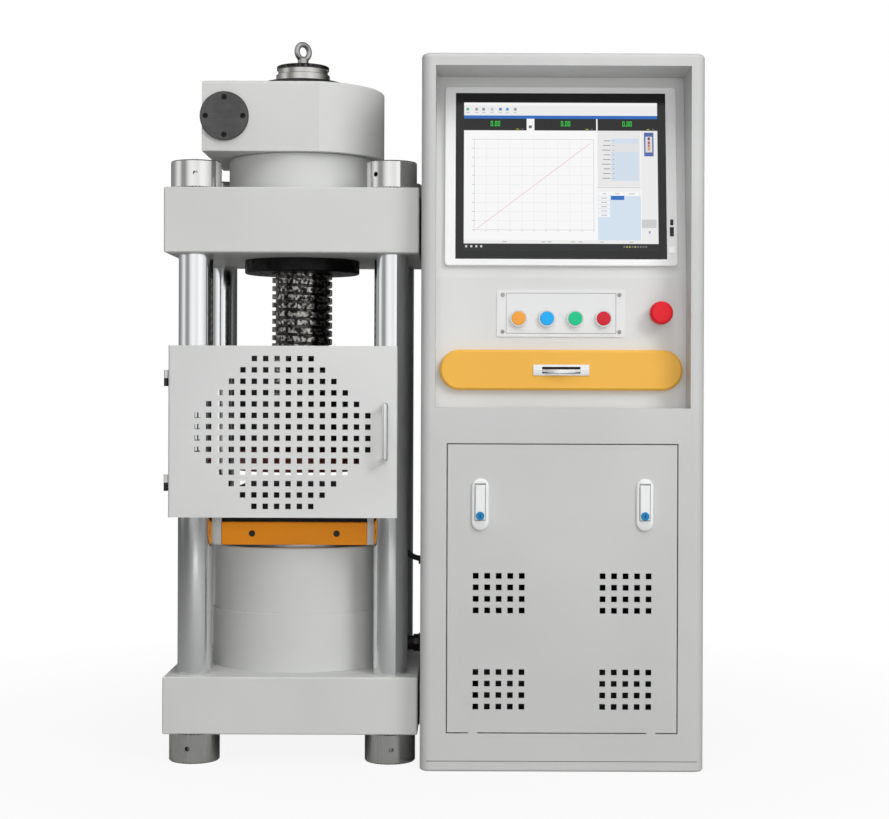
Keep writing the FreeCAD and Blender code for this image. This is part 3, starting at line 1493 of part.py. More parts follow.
def pump_motor():
    """The upright pump motor on the tank."""
    top = plinth_height + tank_height + tank_lid
    x = tank_left() + tank_width / 2.0
    y = front_plane + tank_front_gap + tank_depth / 2.0
    body = disc(pump_radius + 14.0, x, y, top, top + 10.0)
    body = body.fuse(disc(pump_radius, x, y, top + 10.0, top + pump_height - 34.0))
    cowl = disc(pump_radius + 4.0, x, y, top + pump_height - 34.0, top + pump_height)
    rim = [edge for edge in cowl.Edges if isinstance(edge.Curve, Part.Circle)
           and edge.CenterOfMass.z > top + pump_height - 1]
    return body.fuse(cowl.makeFillet(8.0, rim)).removeSplitter()


def valve_block():
    """The valve block between the cabinet wall and the tank, with two cartridge valves."""
    x0 = cabinet_left + sheet
    x1 = tank_left()
    z0 = plinth_height
    z1 = hose_height + valve_block_height / 2.0
    block = box(x0, axis_y - valve_block_depth / 2.0, hose_height - valve_block_height / 2.0, x1,
                axis_y + valve_block_depth / 2.0, z1)
    foot = box(x0 + 20.0, axis_y - 20.0, z0, x1 - 20.0, axis_y + 20.0, z1 - valve_block_height)
    block = block.fuse(foot)
    for side in (-1, 1):
        y = axis_y + side * valve_spacing / 2.0
        block = block.fuse(disc(valve_radius, (x0 + x1) / 2.0, y, z1 - 1.0, z1 + valve_height))
    return block.removeSplitter()


def write_node(name, solids):
    """Writes one node as a STEP file."""
    if not isinstance(solids, list):
        solids = [solids]
    pieces = []
    for shape in solids:
        pieces.extend(shape.Solids)
    shape = pieces[0] if len(pieces) == 1 else Part.makeCompound(pieces)
    shape.exportStep("parts/" + name + ".step")


def main():
    """Builds every node."""
    os.makedirs("parts", exist_ok=True)
    nodes = {
        "base_plate": beam(base_bottom, base_top),
        "columns": columns(),
        "column_nuts": column_nuts(),
        "crosshead": crosshead(),
        "cylinder_barrel": cylinder_barrel(),
        "cylinder_collar": cylinder_collar(),
        "piston_seal": piston_seal(),
        "piston": piston(),
        "platen_seat": platen_seat(),
        "lower_platen": lower_platen(),
        "front_strip": front_strip(),
        "upper_platen": upper_platen(),
        "seat_liner": seat_liner(),
        "ball_seat": ball_seat(),
        "lead_screw": lead_screw(),
        "eye_bolt": eye_bolt(),
        "guide_flange": guide_flange(),
        "gearbox_pedestal": gearbox_pedestal(),
        "gearbox_housing": gearbox_housing(),
        "gearbox_caps": gearbox_caps(),
        "gearbox_screws": gearbox_screws(),
        "gearbox_bearings": gearbox_bearings(),
        "worm_wheel": worm_wheel(),
        "worm_shaft": worm_shaft(),
        "feed_motor": feed_motor(),
        "guard_door": guard_door(),
        "guard_handle": guard_handle(),
        "column_clamps": front_clamps() + hinge_pins() + rear_clamps(),
        "rear_guard": rear_guard(),
        "hydraulic_hose": hydraulic_hose(),
        "hose_fittings": hose_fittings(),
        "sensor_lead": sensor_lead(),
        "side_panels": side_panels(),
        "top_panel": top_panel(),
        "front_frame": front_frame(),
        "plinth": plinth(),
        "rear_panel": rear_panel(),
        "console_panel": console_panel(),
        "monitor_bezel": monitor_bezel(),
        "screen": screen(),
        "monitor_housing": monitor_housing(),
        "power_button": power_button(),
        "button_plate": button_plate(),
        "button_rings": button_rings(),
        "button_orange": push_button(0),
        "button_blue": push_button(1),
        "button_green": push_button(2),
        "button_red": push_button(3),
        "estop_button": estop_button(),
        "drawer_front": drawer_front(),
        "drawer_tray": drawer_tray(),
        "drawer_pull": drawer_pull(),
        "drawer_runners": drawer_runners(),
        "lower_door": lower_door(),
        "lock_bases": lock_bases(),
        "lock_lever_left": lock_lever(-1),
        "lock_lever_right": lock_lever(1),
        "oil_tank": oil_tank(),
        "pump_motor": pump_motor(),
        "valve_block": valve_block(),
    }
    for name, solids in nodes.items():
        write_node(name, solids)


main()
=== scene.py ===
"""Looks of a hydraulic compression testing machine: a column load frame beside its control cabinet.

Everything is in metres, +Z up, and the front faces -Y. Each class is one sub-assembly. It holds its
sizes as fields, builds the pieces that the frame does not bring and dresses the ones that it does.
"""
from __future__ import annotations

import json
import logging
import math
from dataclasses import dataclass, field
from enum import Enum
from typing import Callable, Iterable, Sequence

import bmesh
import bpy
from mathutils import Matrix, Vector

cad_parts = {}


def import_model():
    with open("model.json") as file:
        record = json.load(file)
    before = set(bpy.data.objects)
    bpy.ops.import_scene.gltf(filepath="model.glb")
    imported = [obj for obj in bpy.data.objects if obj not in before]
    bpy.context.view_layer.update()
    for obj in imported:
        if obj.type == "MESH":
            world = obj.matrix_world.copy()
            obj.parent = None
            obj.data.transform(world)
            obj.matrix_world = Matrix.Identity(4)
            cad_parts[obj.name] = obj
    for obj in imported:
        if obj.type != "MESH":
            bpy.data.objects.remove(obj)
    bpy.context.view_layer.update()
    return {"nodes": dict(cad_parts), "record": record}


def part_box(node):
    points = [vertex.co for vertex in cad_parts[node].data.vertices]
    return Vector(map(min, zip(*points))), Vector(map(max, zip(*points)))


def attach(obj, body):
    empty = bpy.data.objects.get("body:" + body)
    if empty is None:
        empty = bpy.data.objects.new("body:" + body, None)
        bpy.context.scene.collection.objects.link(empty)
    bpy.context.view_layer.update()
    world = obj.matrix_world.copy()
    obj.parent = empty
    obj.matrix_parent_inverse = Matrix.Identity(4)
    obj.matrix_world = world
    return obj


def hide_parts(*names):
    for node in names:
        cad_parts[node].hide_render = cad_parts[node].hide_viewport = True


LOG = logging.getLogger("compression_tester")
MM = 0.001
Point = tuple[float, float, float]
Colour = tuple[float, float, float, float]


class Facing(Enum):
    """Which way the head of a fastener looks."""

    FRONT = (math.pi / 2.0, 0.0, 0.0)
    BACK = (-math.pi / 2.0, 0.0, 0.0)
    LEFT = (0.0, -math.pi / 2.0, 0.0)


class Axis(Enum):
    """The axis that a turned piece is round about."""

    X = "X"
    Y = "Y"
    Z = "Z"


def linear_colour(code: str) -> Colour:
    """Turns an sRGB hex colour into linear values.

    Args:
        code: Six hex digits after a hash sign.

    Returns:
        Red, green, blue and an alpha of 1.
    """
    values = []
    for start in (1, 3, 5):
        part = int(code[start:start + 2], 16) / 255.0
        values.append(part / 12.92 if part <= 0.04045 else ((part + 0.055) / 1.055) ** 2.4)
    return (values[0], values[1], values[2], 1.0)


def add_node(tree: bpy.types.NodeTree, kind: str, inputs: dict | None = None,
             **settings: object) -> bpy.types.Node:
    """Adds a node with its settings, values and links.

    Args:
        tree: The tree that gets the node.
        kind: Blender's name of the node type.
        inputs: Socket name or index to a value, or to the output socket that it is linked from.
        settings: Properties of the node.

    Returns:
        The new node.
    """
    node = tree.nodes.new(kind)
    for name, value in settings.items():
        setattr(node, name, value)
    for key, value in (inputs or {}).items():
        if isinstance(value, bpy.types.NodeSocket):
            tree.links.new(value, node.inputs[key])
        else:
            node.inputs[key].default_value = value
    return node


# Finishes


@dataclass(frozen=True)
class Finish:
    """A finish that every other finish starts from: one shader on Object coordinates."""

    name: str
    colour: str
    roughness: float = 0.5
    metallic: float = 0.0

    def material(self) -> bpy.types.Material:
        """Returns the finish's material and builds it the first time."""
        found = bpy.data.materials.get(self.name)
        if found:
            return found
        made = bpy.data.materials.new(self.name)
        made.use_nodes = True
        tree = made.node_tree
        tree.nodes.clear()
        shader = add_node(tree, "ShaderNodeBsdfPrincipled", {
            "Base Color": linear_colour(self.colour), "Roughness": self.roughness, "Metallic": self.metallic})
        place = add_node(tree, "ShaderNodeTexCoord").outputs["Object"]
        self.detail(tree, shader, place)
        add_node(tree, "ShaderNodeOutputMaterial", {"Surface": shader.outputs[0]})
        return made

    def detail(self, tree: bpy.types.NodeTree, shader: bpy.types.Node, place: bpy.types.NodeSocket) -> None:
        """Adds what this finish has beyond one colour.

        Args:
            tree: The material's tree.
            shader: Its Principled shader.
            place: Object coordinates, in metres.
        """


def noise(tree: bpy.types.NodeTree, place: bpy.types.NodeSocket, size_mm: float, detail: float = 2.0,
          stretch: Point = (1.0, 1.0, 1.0)) -> bpy.types.NodeSocket:
    """Adds noise whose grains have a real size.

    Args:
        tree: The material's tree.
        place: The coordinates, in metres.
        size_mm: The size of a grain.
        detail: How much finer noise lies in it.
        stretch: How much closer the grains lie along each axis.

    Returns:
        The noise value.
    """
    mapped = add_node(tree, "ShaderNodeMapping", {"Vector": place, "Scale": stretch}).outputs[0]
    return add_node(tree, "ShaderNodeTexNoise", {"Vector": mapped, "Scale": 1000.0 / size_mm,
                                                 "Detail": detail}).outputs["Fac"]


def spread(tree: bpy.types.NodeTree, value: bpy.types.NodeSocket, low: float,
           high: float) -> bpy.types.NodeSocket:
    """Maps a noise value onto a range.

    Args:
        tree: The material's tree.
        value: The noise value.
        low: The result for low noise.
        high: The result for high noise.

    Returns:
        The mapped value.
    """
    return add_node(tree, "ShaderNodeMapRange", {"Value": value, "From Min": 0.3, "From Max": 0.7,
                                                 "To Min": low, "To Max": high}).outputs[0]


def tint(tree: bpy.types.NodeTree, share: bpy.types.NodeSocket, first: str | bpy.types.NodeSocket,
         second: str | bpy.types.NodeSocket) -> bpy.types.NodeSocket:
    """Mixes two colours.

    Args:
        tree: The material's tree.
        share: How much of the second colour shows.
        first: The colour at 0, as hex digits or a socket.
        second: The colour at 1, as hex digits or a socket.

    Returns:
        The mixed colour.
    """
    ends = [linear_colour(end) if isinstance(end, str) else end for end in (first, second)]
    return add_node(tree, "ShaderNodeMix", {0: share, 6: ends[0], 7: ends[1]}, data_type="RGBA").outputs[2]


def bump(tree: bpy.types.NodeTree, shader: bpy.types.Node, height: bpy.types.NodeSocket, depth_mm: float,
         strength: float = 1.0) -> None:
    """Gives a shader a bump.

    Args:
        tree: The material's tree.
        shader: The shader.
        height: The height pattern.
        depth_mm: How deep the pattern is.
        strength: How strongly it shows.
    """
    node = add_node(tree, "ShaderNodeBump",
                    {"Height": height, "Distance": depth_mm * MM, "Strength": strength})
    tree.links.new(node.outputs[0], shader.inputs["Normal"])


@dataclass(frozen=True)
class PowderCoat(Finish):
    """Powder-coated steel: a fine orange peel and a slightly uneven gloss."""

    shade: str = "#C4C5C3"
    peel_mm: float = 2.2

    def detail(self, tree: bpy.types.NodeTree, shader: bpy.types.Node, place: bpy.types.NodeSocket) -> None:
        """Adds a broad change of shade, an uneven gloss and the orange peel."""
        broad = spread(tree, noise(tree, place, 260.0), 0.0, 1.0)
        tree.links.new(tint(tree, broad, self.colour, self.shade), shader.inputs["Base Color"])
        gloss = spread(tree, noise(tree, place, 35.0, 3.0), self.roughness - 0.05, self.roughness + 0.07)
        tree.links.new(gloss, shader.inputs["Roughness"])
        bump(tree, shader, noise(tree, place, self.peel_mm, 1.0), 0.03, 0.35)


@dataclass(frozen=True)
class PolishedChrome(Finish):
    """Hard chrome on a ground column: a near mirror with faint lengthwise wipe marks."""

    def detail(self, tree: bpy.types.NodeTree, shader: bpy.types.Node, place: bpy.types.NodeSocket) -> None:
        """Adds faint lengthwise streaks to the gloss."""
        streaks = noise(tree, place, 9.0, 3.0, (1.0, 1.0, 0.04))
        tree.links.new(spread(tree, streaks, self.roughness * 0.8, self.roughness * 1.3),
                       shader.inputs["Roughness"])


@dataclass(frozen=True)
class TurnedSteel(Finish):
    """Steel turned on a lathe: fine tool marks around the piece and a soft stain here and there."""

    mark_mm: float = 1.4
    stain: str = "#9A9892"

    def detail(self, tree: bpy.types.NodeTree, shader: bpy.types.Node, place: bpy.types.NodeSocket) -> None:
        """Adds the tool marks, drawn coarser than the real 0.2 mm so that they show, and stains."""
        marks = noise(tree, place, self.mark_mm * 12.0, 2.0, (0.08, 0.08, 12.0))
        stains = spread(tree, noise(tree, place, 22.0, 4.0), 0.0, 1.0)
        tree.links.new(tint(tree, stains, self.colour, self.stain), shader.inputs["Base Color"])
        tree.links.new(spread(tree, marks, self.roughness * 0.75, self.roughness * 1.35),
                       shader.inputs["Roughness"])
        bump(tree, shader, marks, 0.02, 0.5)


@dataclass(frozen=True)
class GroundSteel(Finish):
    """A hardened, blackened and ground plate: dark, with worn lighter scuffs."""

    worn: str = "#4A4642"

    def detail(self, tree: bpy.types.NodeTree, shader: bpy.types.Node, place: bpy.types.NodeSocket) -> None:
        """Adds grinding lines along X and scuffs."""
        lines = noise(tree, place, 40.0, 3.0, (0.3, 30.0, 30.0))
        scuffs = spread(tree, noise(tree, place, 30.0, 6.0), 0.0, 1.0)
        tree.links.new(tint(tree, scuffs, self.colour, self.worn), shader.inputs["Base Color"])
        tree.links.new(spread(tree, lines, self.roughness * 0.8, self.roughness * 1.25),
                       shader.inputs["Roughness"])
        bump(tree, shader, lines, 0.02, 0.4)


@dataclass(frozen=True)
class OiledSteel(Finish):
    """Blackened steel under a film of oil: dark with sharp highlights, wiped thin in places."""

    wiped: str = "#2B2A29"
    coat: float = 0.6

    def detail(self, tree: bpy.types.NodeTree, shader: bpy.types.Node, place: bpy.types.NodeSocket) -> None:
        """Adds the uneven film of oil."""
        film = noise(tree, place, 8.0, 4.0)
        tree.links.new(tint(tree, spread(tree, film, 0.0, 1.0), self.colour, self.wiped),
                       shader.inputs["Base Color"])
        tree.links.new(spread(tree, film, self.roughness * 0.6, self.roughness * 1.6),
                       shader.inputs["Roughness"])
        shader.inputs["Coat Weight"].default_value = self.coat
        shader.inputs["Coat Roughness"].default_value = 0.12


@dataclass(frozen=True)
class ThreadSteel(Finish):
    """A cut thread: flanks black as painted shade, crest and root with bright dashes as painted highlights
    over worn steel, clean steel at its free end.
    """

    axis: tuple[float, float] = (0.0, 0.0)
    root_radius: float = 0.0486
    crest_radius: float = 0.055
    # wiped: colour of the painted highlights on crest and root, with worn steel in them
    wiped: str = "#B9B6B0"
    bright: str = "#C8C6C2"
    bright_from: float = 1.195
    bright_to: float = 1.2337

    def detail(self, tree: bpy.types.NodeTree, shader: bpy.types.Node, place: bpy.types.NodeSocket) -> None:
        """Adds bright dashes, about 5 mm long, on crest and root as painted highlights over worn steel,
        leaves the flanks black as painted shade, and adds the clean end.
        """
        parts = add_node(tree, "ShaderNodeSeparateXYZ", {0: place}).outputs
        flat = add_node(tree, "ShaderNodeCombineXYZ", {0: parts["X"], 1: parts["Y"]}).outputs[0]
        reach = add_node(tree, "ShaderNodeVectorMath", {0: flat, 1: (*self.axis, 0.0)}, operation="DISTANCE")
        # Crest and root get painted highlights; the flanks keep the black base colour as painted shade.
        crest = add_node(tree, "ShaderNodeMapRange",
                         {"Value": reach.outputs["Value"], "From Min": self.crest_radius - 0.9 * MM,
                                                      "From Max": self.crest_radius - 0.4 * MM}).outputs[0]
        root = add_node(tree, "ShaderNodeMapRange",
                        {"Value": reach.outputs["Value"], "From Min": self.root_radius + 0.8 * MM,
                                                     "From Max": self.root_radius + 0.3 * MM,
                         "To Max": 0.16}).outputs[0]
        painted_glint_faces = add_node(tree, "ShaderNodeMath", {0: crest, 1: root}, operation="MAXIMUM").outputs[0]
        dashes = noise(tree, place, 6.0, 1.0, (1.0, 1.0, 0.8))
        # Each dash's share of painted highlight over worn steel.
        worn = add_node(tree, "ShaderNodeMapRange", {"Value": dashes, "From Min": 0.42, "From Max": 0.64,
                                                     "To Max": 0.85}).outputs[0]
        share = add_node(tree, "ShaderNodeMath", {0: worn, 1: painted_glint_faces}, operation="MULTIPLY").outputs[0]
        grease_glint_and_shade = tint(tree, share, self.colour, self.wiped)
        start = add_node(tree, "ShaderNodeMath", {0: parts["Z"], 1: self.bright_from},
                         operation="GREATER_THAN")
        stop = add_node(tree, "ShaderNodeMath", {0: parts["Z"], 1: self.bright_to}, operation="LESS_THAN")
        end = add_node(tree, "ShaderNodeMath", {0: start.outputs[0], 1: stop.outputs[0]},
                       operation="MULTIPLY").outputs[0]
        tree.links.new(tint(tree, end, grease_glint_and_shade, self.bright), shader.inputs["Base Color"])
        film = noise(tree, place, 6.0, 3.0)
        tree.links.new(spread(tree, film, self.roughness * 0.6, self.roughness * 1.6),
                       shader.inputs["Roughness"])
        shader.inputs["Coat Weight"].default_value = 0.3
        shader.inputs["Coat Roughness"].default_value = 0.1


@dataclass(frozen=True)
class CastBronze(Finish):
    """Machined bronze that has begun to brown."""

    def detail(self, tree: bpy.types.NodeTree, shader: bpy.types.Node, place: bpy.types.NodeSocket) -> None:
        """Adds the browned patches."""
        brown = spread(tree, noise(tree, place, 18.0, 4.0), 0.0, 0.8)
        tree.links.new(tint(tree, brown, self.colour, "#7A5326"), shader.inputs["Base Color"])


@dataclass(frozen=True)
class GlossPaint(Finish):
    """Sprayed gloss enamel with a slight ripple."""

    deep: str = "#B87412"
    ripple_mm: float = 6.0

    def detail(self, tree: bpy.types.NodeTree, shader: bpy.types.Node, place: bpy.types.NodeSocket) -> None:
        """Adds a slow change of colour and the ripple."""
        slow = spread(tree, noise(tree, place, 180.0, 0.0), 0.0, 0.5)
        tree.links.new(tint(tree, slow, self.colour, self.deep), shader.inputs["Base Color"])
        bump(tree, shader, noise(tree, place, self.ripple_mm, 1.0), 0.01, 0.1)
        shader.inputs["Specular IOR Level"].default_value = 0.3


@dataclass(frozen=True)
class Anodised(Finish):
    """Satin anodised aluminium with brushing along one axis."""

    brushing: Point = (0.05, 12.0, 12.0)

    def detail(self, tree: bpy.types.NodeTree, shader: bpy.types.Node, place: bpy.types.NodeSocket) -> None:
        """Adds the brushing."""
        lines = noise(tree, place, 16.0, 3.0, self.brushing)
        tree.links.new(spread(tree, lines, self.roughness * 0.7, self.roughness * 1.4),
                       shader.inputs["Roughness"])
        bump(tree, shader, lines, 0.01, 0.4)


@dataclass(frozen=True)
class MouldedPlastic(Finish):
    """Moulded plastic with a fine spark-eroded grain."""

    grain_mm: float = 0.8
    specular: float = 0.5

    def detail(self, tree: bpy.types.NodeTree, shader: bpy.types.Node, place: bpy.types.NodeSocket) -> None:
        """Adds the grain and a slightly uneven gloss."""
        gloss = spread(tree, noise(tree, place, 14.0, 2.0), self.roughness * 0.9, self.roughness * 1.15)
        tree.links.new(gloss, shader.inputs["Roughness"])
        bump(tree, shader, noise(tree, place, self.grain_mm, 1.0), 0.02, 0.3)
        shader.inputs["Specular IOR Level"].default_value = self.specular


@dataclass(frozen=True)
class LampLens(Finish):
    """A push button's acrylic lens: clear gloss over a coloured diffuser that glows a little."""

    glow: float = 0.25

    def detail(self, tree: bpy.types.NodeTree, shader: bpy.types.Node, place: bpy.types.NodeSocket) -> None:
        """Adds the glow, which is brighter in the middle of the diffuser's cells."""
        cells = add_node(tree, "ShaderNodeTexVoronoi",
                         {"Vector": place, "Scale": 1000.0 / 2.5}).outputs["Distance"]
        bright = add_node(tree, "ShaderNodeMapRange", {"Value": cells, "From Max": 0.7, "To Min": self.glow,
                                                       "To Max": self.glow * 0.6}).outputs[0]
        shader.inputs["Emission Color"].default_value = linear_colour(self.colour)
        tree.links.new(bright, shader.inputs["Emission Strength"])
        shader.inputs["Coat Weight"].default_value = 0.25
        shader.inputs["Specular IOR Level"].default_value = 0.25


@dataclass(frozen=True)
class TwoPart(Finish):
    """A piece whose front part has one finish and whose part behind a plane has another."""

    behind: str = "#101010"
    plane_y: float = 0.0

    def detail(self, tree: bpy.types.NodeTree, shader: bpy.types.Node, place: bpy.types.NodeSocket) -> None:
        """Splits colour, metal and gloss at the plane, and adds turning marks to the gloss."""
        depth = add_node(tree, "ShaderNodeSeparateXYZ", {0: place}).outputs["Y"]
        split = add_node(tree, "ShaderNodeMath", {0: depth, 1: self.plane_y},
                         operation="GREATER_THAN").outputs[0]
        tree.links.new(tint(tree, split, self.colour, self.behind), shader.inputs["Base Color"])
        metal = add_node(tree, "ShaderNodeMapRange", {"Value": split, "To Min": self.metallic, "To Max": 0.0})
        tree.links.new(metal.outputs[0], shader.inputs["Metallic"])
        marks = noise(tree, place, 4.0, 2.0)
        tree.links.new(spread(tree, marks, self.roughness * 0.8, self.roughness * 1.3),
                       shader.inputs["Roughness"])


@dataclass(frozen=True)
class DisplayPicture(Finish):
    """The lit picture of the display: the colours of its fields, shining through a row of pixels."""

    strength: float = 0.92

    def detail(self, tree: bpy.types.NodeTree, shader: bpy.types.Node, place: bpy.types.NodeSocket) -> None:
        """Lets the fields' own colours shine, with the faint grid of the pixels, drawn 0.5 mm wide."""
        fields = add_node(tree, "ShaderNodeVertexColor", layer_name="picture").outputs[0]
        pixels = add_node(tree, "ShaderNodeTexChecker",
                          {"Vector": place, "Scale": 1000.0 / 0.5}).outputs["Fac"]
        level = add_node(tree, "ShaderNodeMapRange", {"Value": pixels, "To Min": self.strength * 0.98,
                                                      "To Max": self.strength}).outputs[0]
        tree.links.new(fields, shader.inputs["Emission Color"])
        tree.links.new(level, shader.inputs["Emission Strength"])


FRAME_PAINT = PowderCoat("powder_coat_frame_grey", "#D2D3D1", 0.46, shade="#CBCCCA")
CABINET_PAINT = PowderCoat("powder_coat_cabinet_grey", "#C9CAC9", 0.48, shade="#C2C3C2")
# A lighter copy of the cabinet grey: painted light for the guard door and the console panel.
LIT_COPY_PAINT = PowderCoat("powder_coat_pale_grey", "#DADBDA", 0.48, shade="#D4D5D4")
MOTOR_PAINT = PowderCoat("machine_enamel_black", "#1B1C1D", 0.42, shade="#232426", peel_mm=4.0)
TANK_PAINT = PowderCoat("machine_enamel_graphite", "#2C2E30", 0.5, shade="#343638", peel_mm=4.0)
SILVER_PAINT = PowderCoat("powder_coat_silver", "#F0F0F0", 0.34, shade="#EAEAEB", peel_mm=1.5)
COLUMN_CHROME = PolishedChrome("hard_chrome_polished", "#E6E8E9", 0.1, 1.0)
NUT_CHROME = PolishedChrome("turned_steel_polished", "#E2E2E0", 0.14, 1.0)
# The feet's darker, rougher copy of the nut chrome is partly a satin finish and partly painted shade.
SHADED_FOOT_STEEL = PolishedChrome("turned_steel_satin", "#BDBDBB", 0.24, 1.0)
NUT_STEEL = TurnedSteel("turned_steel_bright", "#C2C1BD", 0.34, 1.0)
CAP_STEEL = TurnedSteel("turned_steel_grey", "#626262", 0.4, 1.0, stain="#575757")
PLATEN_STEEL = GroundSteel("ground_steel_blackened", "#2E2725", 0.42, 1.0)
UPPER_PLATEN_PAINT = GroundSteel("rust_guard_lacquer_brown", "#6A2A22", 0.42, worn="#571F1A")
FLANGE_STEEL = OiledSteel("phosphated_steel_black", "#080808", 0.5, 0.6, wiped="#0E0E0E", coat=0.1)
# Black oily steel: painted shade in the tommy holes, the seat's pocket and the pull's finger slot, and the
# black of the gearbox screws.
PAINTED_SHADE_AND_BLACK_STEEL = OiledSteel("tommy_hole_steel_oily", "#0E0D0D", 0.5, 0.5, wiped="#181716", coat=0.1)
FASTENER_STEEL = OiledSteel("fastener_steel_blackened", "#1C1B1B", 0.32, 0.9)
ZINC = Anodised("zinc_plated_sheet", "#B9BBB8", 0.36, 1.0)
BRIGHT_ALUMINIUM = Anodised("anodised_aluminium_satin", "#EDEEEE", 0.3, 1.0, brushing=(12.0, 12.0, 0.05))
DRAWER_ALUMINIUM = Anodised("anodised_aluminium_brushed", "#E8E9EA", 0.3, 0.5)
PLATE_ALUMINIUM = Anodised("anodised_aluminium_plate", "#E1E2E2", 0.42, 0.25)
BRONZE = CastBronze("cast_bronze_machined", "#A8763A", 0.35, 1.0)
STRIP_PAINT = GlossPaint("gloss_enamel_orange", "#FC9A12", 0.4, deep="#F79410")
DRAWER_PAINT = GlossPaint("gloss_enamel_yellow", "#EBB44E", 0.36, deep="#E6AD45")
HOSE_RUBBER = MouldedPlastic("hose_rubber_black", "#151515", 0.55, grain_mm=1.5)
BLACK_PLASTIC = MouldedPlastic("abs_black_fine_grain", "#18191A", 0.45)
LOCK_BODY = MouldedPlastic("zinc_die_cast_painted_silver", "#E9EAEA", 0.3)
# Grey strips painted as shade: along the plinth joint and along the button plate's engraved line.
SEAM_SHADE = MouldedPlastic("epdm_seal_grey", "#6E6F6F", 0.7)
VENT_FOAM = MouldedPlastic("filter_foam_black", "#0A0A0A", 0.9, grain_mm=2.0)
SEAL_RUBBER = MouldedPlastic("nitrile_rubber", "#1A1A1A", 0.6)
ESTOP_RED = MouldedPlastic("abs_signal_red", "#DC1A2A", 0.25, specular=0.25)
LOCK_BLUE = MouldedPlastic("abs_lock_core_blue", "#0F7CB4", 0.3, specular=0.3)
LENS_ORANGE = LampLens("acrylic_lens_orange", "#DE9434", 0.15)
LENS_BLUE = LampLens("acrylic_lens_blue", "#009BE0", 0.15)
LENS_GREEN = LampLens("acrylic_lens_green", "#00B27C", 0.15)
LENS_RED = LampLens("acrylic_lens_red", "#BE0A22", 0.15)
PANEL_GLASS = MouldedPlastic("display_glass_black", "#0B0C0D", 0.12, grain_mm=30.0)
PICTURE = DisplayPicture("display_picture", "#050505", 0.25)


# Mesh helpers


def shade(mesh: bpy.types.Mesh, degrees: float = 32.0) -> None:
    """Smooths a mesh, with sharp edges where its faces meet at more than an angle.

    Args:
        mesh: The mesh.
        degrees: The angle.
    """
    mesh.shade_smooth()
    mesh.set_sharp_from_angle(angle=math.radians(degrees))


def new_piece(name: str, mesh: bpy.types.Mesh, finish: Finish, body: str,
              degrees: float = 32.0) -> bpy.types.Object:
    """Makes a finished mesh a piece of the machine.

    Args:
        name: The piece's name.
        mesh: The mesh, in place.
        finish: Its finish.
        body: The body that it moves with.
        degrees: The angle from which its edges stay sharp.

    Returns:
        The piece.
    """
    mesh.name = name
    mesh.materials.clear()
    mesh.materials.append(finish.material())
    shade(mesh, degrees)
    piece = bpy.data.objects.new(name, mesh)
    bpy.context.scene.collection.objects.link(piece)
    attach(piece, body)
    LOG.info("piece %s: %d faces", name, len(mesh.polygons))
    return piece


def mesh_from(fill: Callable[[bmesh.types.BMesh], None], name: str = "mesh") -> bpy.types.Mesh:
    """Builds a mesh with a function that fills a BMesh.

    Args:
        fill: Adds the geometry.
        name: The mesh's name.

    Returns:
        The mesh, with its doubles merged and its faces pointing outwards.
    """
    work = bmesh.new()
    fill(work)
    bmesh.ops.remove_doubles(work, verts=work.verts, dist=1e-6)
    bmesh.ops.recalc_face_normals(work, faces=work.faces)
    mesh = bpy.data.meshes.new(name)
    work.to_mesh(mesh)
    work.free()
    return mesh


def turned(work: bmesh.types.BMesh, profile: Sequence[tuple[float, float]], centre: Point,
           axis: Axis = Axis.Z,
           segments: int = 64) -> None:
    """Adds a turned solid.

    Args:
        work: Gets the faces.
        profile: Radius and height of each corner. The first and last have radius 0, or close a ring.
        centre: Where height 0 is.
        axis: The axis it is round about.
        segments: How many sides the round has.
    """
    turns = {Axis.Z: Matrix.Identity(3), Axis.Y: Matrix.Rotation(-math.pi / 2.0, 3, "X"),
             Axis.X: Matrix.Rotation(math.pi / 2.0, 3, "Y")}
    rows = []
    for radius, height in profile:
        count = 1 if radius == 0.0 else segments
        row = []
        for index in range(count):
            angle = 2.0 * math.pi * index / segments
            local = Vector((radius * math.cos(angle), radius * math.sin(angle), height))
            row.append(work.verts.new(turns[axis] @ local + Vector(centre)))
        rows.append(row)
    for low, high in zip(rows, rows[1:]):
        for index in range(segments):
            after = (index + 1) % segments
            corners = [low[index % len(low)], low[after % len(low)], high[after % len(high)],
                       high[index % len(high)]]
            unique = list(dict.fromkeys(corners))
            if len(unique) > 2:
                work.faces.new(unique)


def prism(work: bmesh.types.BMesh, sides: int, radius: float, start: Vector, end: Vector,
          turn: float = 0.0) -> None:
    """Adds a regular prism between two points.

    Args:
        work: Gets the faces.
        sides: How many sides it has.
        radius: Its corners' radius.
        start: The centre of one end.
        end: The centre of the other end.
        turn: How far it is turned about its axis.
    """
    along = (end - start).normalized()
    side = along.orthogonal().normalized()
    rings = []
    for centre in (start, end):
        ring = []
        for index in range(sides):
            spin = Matrix.Rotation(turn + 2.0 * math.pi * index / sides, 3, along)
            ring.append(work.verts.new(centre + spin @ side * radius))
        rings.append(ring)
    for index in range(sides):
        after = (index + 1) % sides
        work.faces.new((rings[0][index], rings[0][after], rings[1][after], rings[1][index]))
    work.faces.new(list(reversed(rings[0])))
    work.faces.new(rings[1])


def block(work: bmesh.types.BMesh, low: Point, high: Point, bevel: float = 0.0) -> None:
    """Adds a box with rounded edges.

    Args:
        work: Gets the faces.
        low: Its lowest corner.
        high: Its highest corner.
        bevel: The rounding.
    """
    size = [high[i] - low[i] for i in range(3)]
    centre = Matrix.Translation([(high[i] + low[i]) / 2.0 for i in range(3)])
    made = bmesh.ops.create_cube(work, size=1.0, matrix=centre @ Matrix.Diagonal((*size, 1.0)))
    if bevel > 0.0:
        edges = list({edge for vert in made["verts"] for edge in vert.link_edges})
        bmesh.ops.bevel(work, geom=edges, offset=bevel, segments=3, profile=0.5, affect="EDGES")


